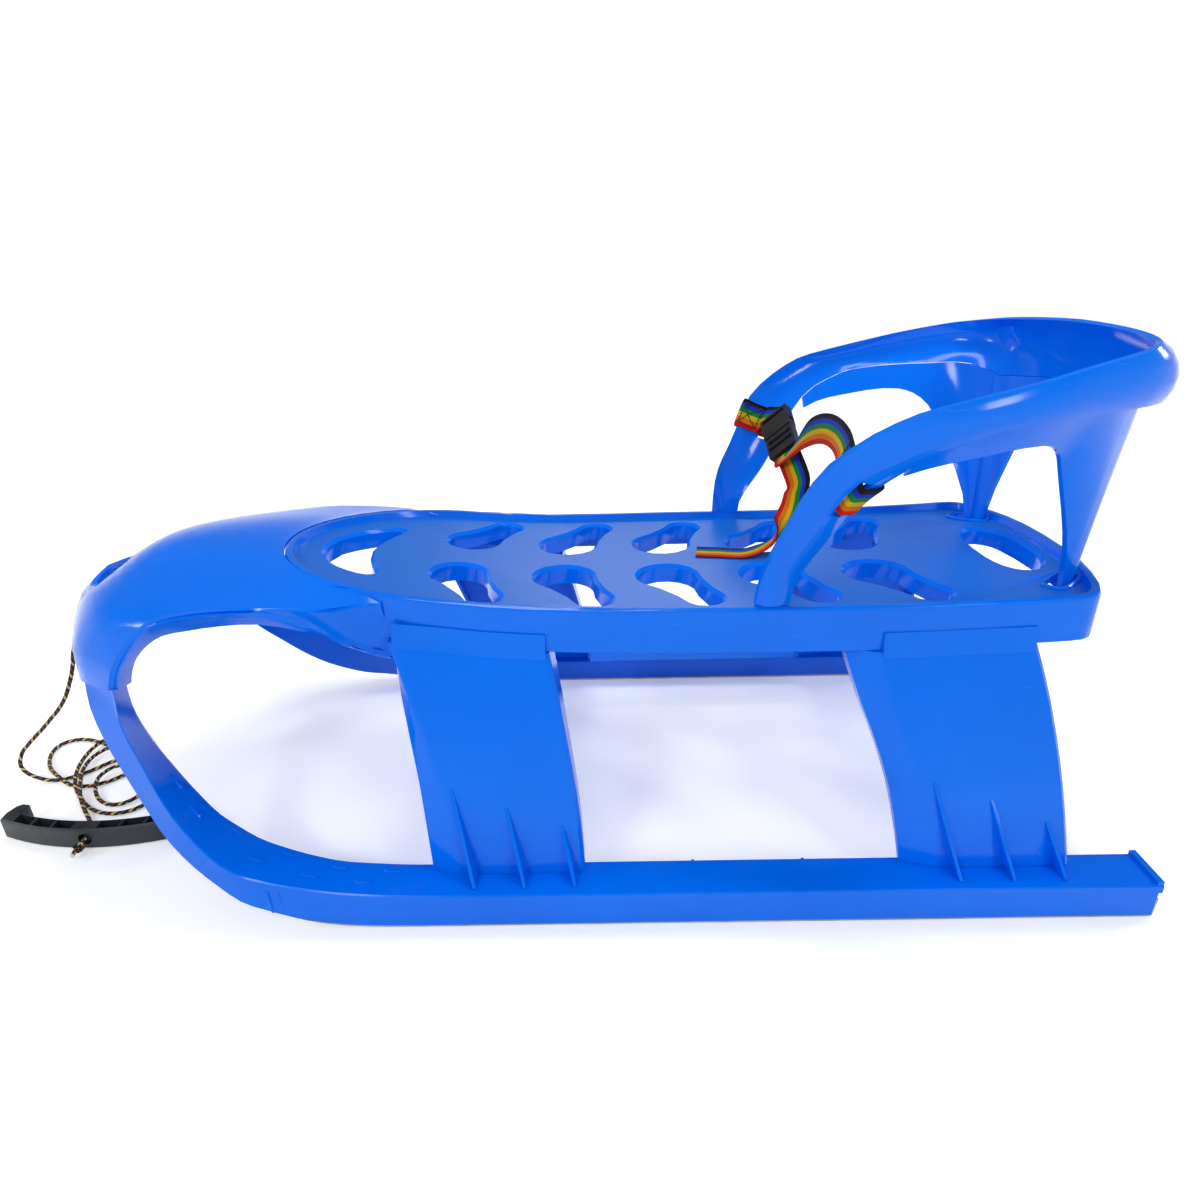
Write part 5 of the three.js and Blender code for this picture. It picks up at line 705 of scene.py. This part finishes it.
def web_piece(name, grid):
    """Webbing with a thickness and thin edges, and its length along the middle."""
    rows, columns = len(grid), len(grid[0])
    points, places = [], []
    for side in (1, -1):
        length = 0.0
        for i, row in enumerate(grid):
            if i:
                length += (row[columns // 2] - grid[i - 1][columns // 2]).length
            for j, p in enumerate(row):
                along = grid[min(i + 1, rows - 1)][j] - grid[max(i - 1, 0)][j]
                wide = row[min(j + 1, columns - 1)] - row[max(j - 1, 0)]
                thin = 0.45 if j in (0, columns - 1) else 1.0
                points.append(p + along.cross(wide).normalized() * (side * web_half * thin))
                places.append((1 - j / (columns - 1), length))
    count = rows * columns
    faces = []
    for i in range(rows - 1):
        for j in range(columns - 1):
            a = i * columns + j
            faces.append((a, a + columns, a + columns + 1, a + 1))
            faces.append((count + a, count + a + 1, count + a + columns + 1, count + a + columns))
        for j in (0, columns - 1):
            a = i * columns + j
            quad = (a, count + a, count + a + columns, a + columns)
            faces.append(quad if j else quad[::-1])
    for i in (0, rows - 1):
        for j in range(columns - 1):
            a = i * columns + j
            quad = (a, a + 1, count + a + 1, count + a)
            faces.append(quad if not i else quad[::-1])
    return mesh_piece(name, points, faces, web, places), length


loop_grid, strap_grid, tail_grid = (web_grid(rows) for rows in (loop_rows, strap_rows, tail_rows))
for name, grid, node in (("belt_loop_web", loop_grid, "belt_loop_left"),
                         ("belt_strap_web", strap_grid, "belt_strap_right"),
                         ("belt_tail_web", tail_grid, "belt_tail")):
    piece, length = web_piece(name, grid)
    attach(piece, "backrest")
    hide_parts(node)

# Stitching: black bonded nylon thread, a crossed box where the loop is sewn to itself and
# two rows where the right strap is. The thread is drawn thicker than real so that it shows.
stitch_spacing = 0.0031
stitch_share = 0.76
stitch_steps = 4
stitch_rise = 0.0003
thread_radius = 0.00058
thread_sides = 6
thread_off = 0.001

# Bonded nylon: nearly black and half dull, with a twist too fine to single out.
thread = surface("black_thread", Roughness=0.6, Sheen_Weight=0.2)
twist = add(thread, "TexNoise", Scale=2500.0, Detail=1.0)
feed(thread,
     Base_Color=add(thread, "ValToRGB", Fac=twist,
                    stops=[(0.3, colour("#060607")), (0.7, colour("#26262a"))]),
     Normal=add(thread, "Bump", Strength=0.5, Distance=0.0001, Height=twist))


def on_web(grid, row, u, lift):
    """A point of the webbing at a row and a share of its width, lifted off its face."""
    i = max(0, min(len(grid) - 2, int(row)))
    j = max(0, min(len(grid[0]) - 2, int(u * (len(grid[0]) - 1))))
    s, t = row - i, u * (len(grid[0]) - 1) - j
    p = (grid[i][j].lerp(grid[i][j + 1], t)).lerp(grid[i + 1][j].lerp(grid[i + 1][j + 1], t), s)
    along = grid[i + 1][j] - grid[i][j]
    wide = grid[i][j + 1] - grid[i][j]
    return p + along.cross(wide).normalized() * lift


def stitch_row(points, faces, grid, start, end, lift):
    """A row of bowed stitches from one place of the webbing to another."""
    a, b = on_web(grid, *start, lift), on_web(grid, *end, lift)
    ahead = (b - a).normalized()
    count = max(2, int((b - a).length / stitch_spacing))
    for k in range(count):
        base = len(points)
        for m in range(stitch_steps + 1):
            t = (k + (1 - stitch_share) / 2 + stitch_share * m / stitch_steps) / count
            row = start[0] + (end[0] - start[0]) * t
            u = start[1] + (end[1] - start[1]) * t
            rise = math.copysign(stitch_rise * math.sin(math.pi * m / stitch_steps), lift)
            p = on_web(grid, row, u, lift + rise)
            out = (on_web(grid, row, u, lift * 1.5) - on_web(grid, row, u, lift)).normalized()
            side = ahead.cross(out).normalized()
            for n in range(thread_sides):
                w = 2 * math.pi * n / thread_sides
                points.append(p + side * (thread_radius * math.cos(w)) + out * (thread_radius * math.sin(w)))
        for m in range(stitch_steps):
            for n in range(thread_sides):
                q = base + m * thread_sides + n
                r = base + m * thread_sides + (n + 1) % thread_sides
                faces.append((q, r, r + thread_sides, q + thread_sides))
        tip = base + stitch_steps * thread_sides
        faces.append(tuple(range(base, base + thread_sides))[::-1])
        faces.append(tuple(range(tip, tip + thread_sides)))


box_rows, box_sides = (2, 11), (0.14, 0.86)
loop_seams = [((box_rows[0], u), (box_rows[1], u)) for u in box_sides]
loop_seams += [((row, box_sides[0]), (row, box_sides[1])) for row in box_rows]
loop_seams += [((box_rows[0], box_sides[0]), (box_rows[1], box_sides[1])),
               ((box_rows[0], box_sides[1]), (box_rows[1], box_sides[0]))]
strap_seams = [((row, 0.06), (row, 0.94)) for row in (25.5, 26.6)]
for name, grid, seams in (("loop_stitching", loop_grid, loop_seams),
                          ("strap_stitching", strap_grid, strap_seams)):
    for ending, lift in (("_a", thread_off), ("_b", -thread_off)):
        points, faces = [], []
        for start, end in seams:
            stitch_row(points, faces, grid, start, end, lift)
        piece = mesh_piece(name + ending, points, faces, thread)
        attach(piece, "backrest")

# Ground: a plain pale floor that is matt as paper, a little brighter for the camera and for
# reflections the farther off it is, so that it runs into the white surround.
floor_reach = 40
floor_level = -0.0002
fade_distance = 6.0
ground = surface("pale_ground", Roughness=0.95, Specular_IOR_Level=0.0, Emission_Color=colour("#ffffff"))
mottle = add(ground, "TexNoise", Scale=4.0, Detail=2.0)
position = add(ground, "NewGeometry", out="Position")
far_off = add(ground, "VectorMath", out="Value", operation="LENGTH", In0=position)
distance = add(ground, "Math", operation="DIVIDE", In0=far_off, In1=fade_distance)
glow = add(ground, "ValToRGB", Fac=distance, stops=[(0.0, grey(0.28)), (0.5, grey(0.6))])
ray = add(ground, "LightPath").node.outputs
indirect = add(ground, "Math", operation="MAXIMUM", In0=ray["Is Glossy Ray"], In1=ray["Is Transmission Ray"])
seen = add(ground, "Math", operation="MAXIMUM", In0=ray["Is Camera Ray"], In1=indirect)
feed(ground,
     Base_Color=add(ground, "ValToRGB", Fac=mottle,
                    stops=[(0.2, colour("#f5f6f7")), (0.8, colour("#f9fafa"))]),
     Emission_Strength=add(ground, "Math", operation="MULTIPLY", In0=seen, In1=glow))
floor_corners = [(x * floor_reach, y * floor_reach, floor_level)
                 for x, y in ((-1, -1), (1, -1), (1, 1), (-1, 1))]
floor = mesh_piece("ground", floor_corners, [(0, 1, 2, 3)], ground)

# Surround: white to the camera. In reflections it is white at the horizon and dim overhead,
# and it lights the sled at a plain level.
horizon, dim_height, dim_level, plain_level = 0.04, 0.34, 0.16, 0.45
surround = bpy.data.worlds.new("surround")
bpy.context.scene.world = surround
surround.use_nodes = True
sky = surround.node_tree.nodes["Background"]
sky.inputs["Color"].default_value = colour("#ffffff")
ray = add(surround, "LightPath").node.outputs
height = add(surround, "SeparateXYZ", out=2, Vector=add(surround, "TexCoord", out="Generated"))
ceiling = add(surround, "ValToRGB", Fac=height, stops=[(horizon, grey(1)), (dim_height, grey(dim_level))])
direct = add(surround, "Math", operation="MAXIMUM", In0=ray["Is Camera Ray"], In1=ray["Is Transmission Ray"])
shown = add(surround, "Mix", data_type="FLOAT", In0=ray["Is Glossy Ray"], In2=plain_level, In3=ceiling)
level = add(surround, "Mix", data_type="FLOAT", In0=direct, In2=shown, In3=1.0)
surround.node_tree.links.new(level, sky.inputs["Strength"])

# Lamps: a long softbox overhead, two at the front, one at each end and one behind, small
# enough to show as clear reflections on the glossy shell. Sizes in metres, power in watts.
for name, place, aim, size, power in (
        ("overhead", (0.15, 0.25, 1.7), (0.0, 0.0, 0.2), (1.2, 0.22), 8),
        ("front_nose", (-0.8, -1.5, 1.35), (-0.1, 0.0, 0.2), (0.42, 0.27), 9),
        ("front_tail", (0.95, -1.5, 0.95), (0.3, 0.0, 0.2), (0.22, 0.38), 5.5),
        ("nose_end", (-1.8, -0.4, 0.9), (-0.3, 0.0, 0.2), (0.24, 0.42), 5),
        ("tail_end", (1.9, 0.3, 1.0), (0.3, 0.0, 0.3), (0.24, 0.42), 5),
        ("behind", (0.2, 1.9, 1.3), (0.0, 0.0, 0.3), (0.9, 0.2), 6)):
    data = bpy.data.lights.new(name, "AREA")
    data.shape = "RECTANGLE"
    data.size, data.size_y = size
    data.energy = power
    lamp = bpy.data.objects.new(name, data)
    bpy.context.collection.objects.link(lamp)
    lamp.location = place
    lamp.rotation_euler = (Vector(aim) - Vector(place)).to_track_quat("-Z", "Y").to_euler()
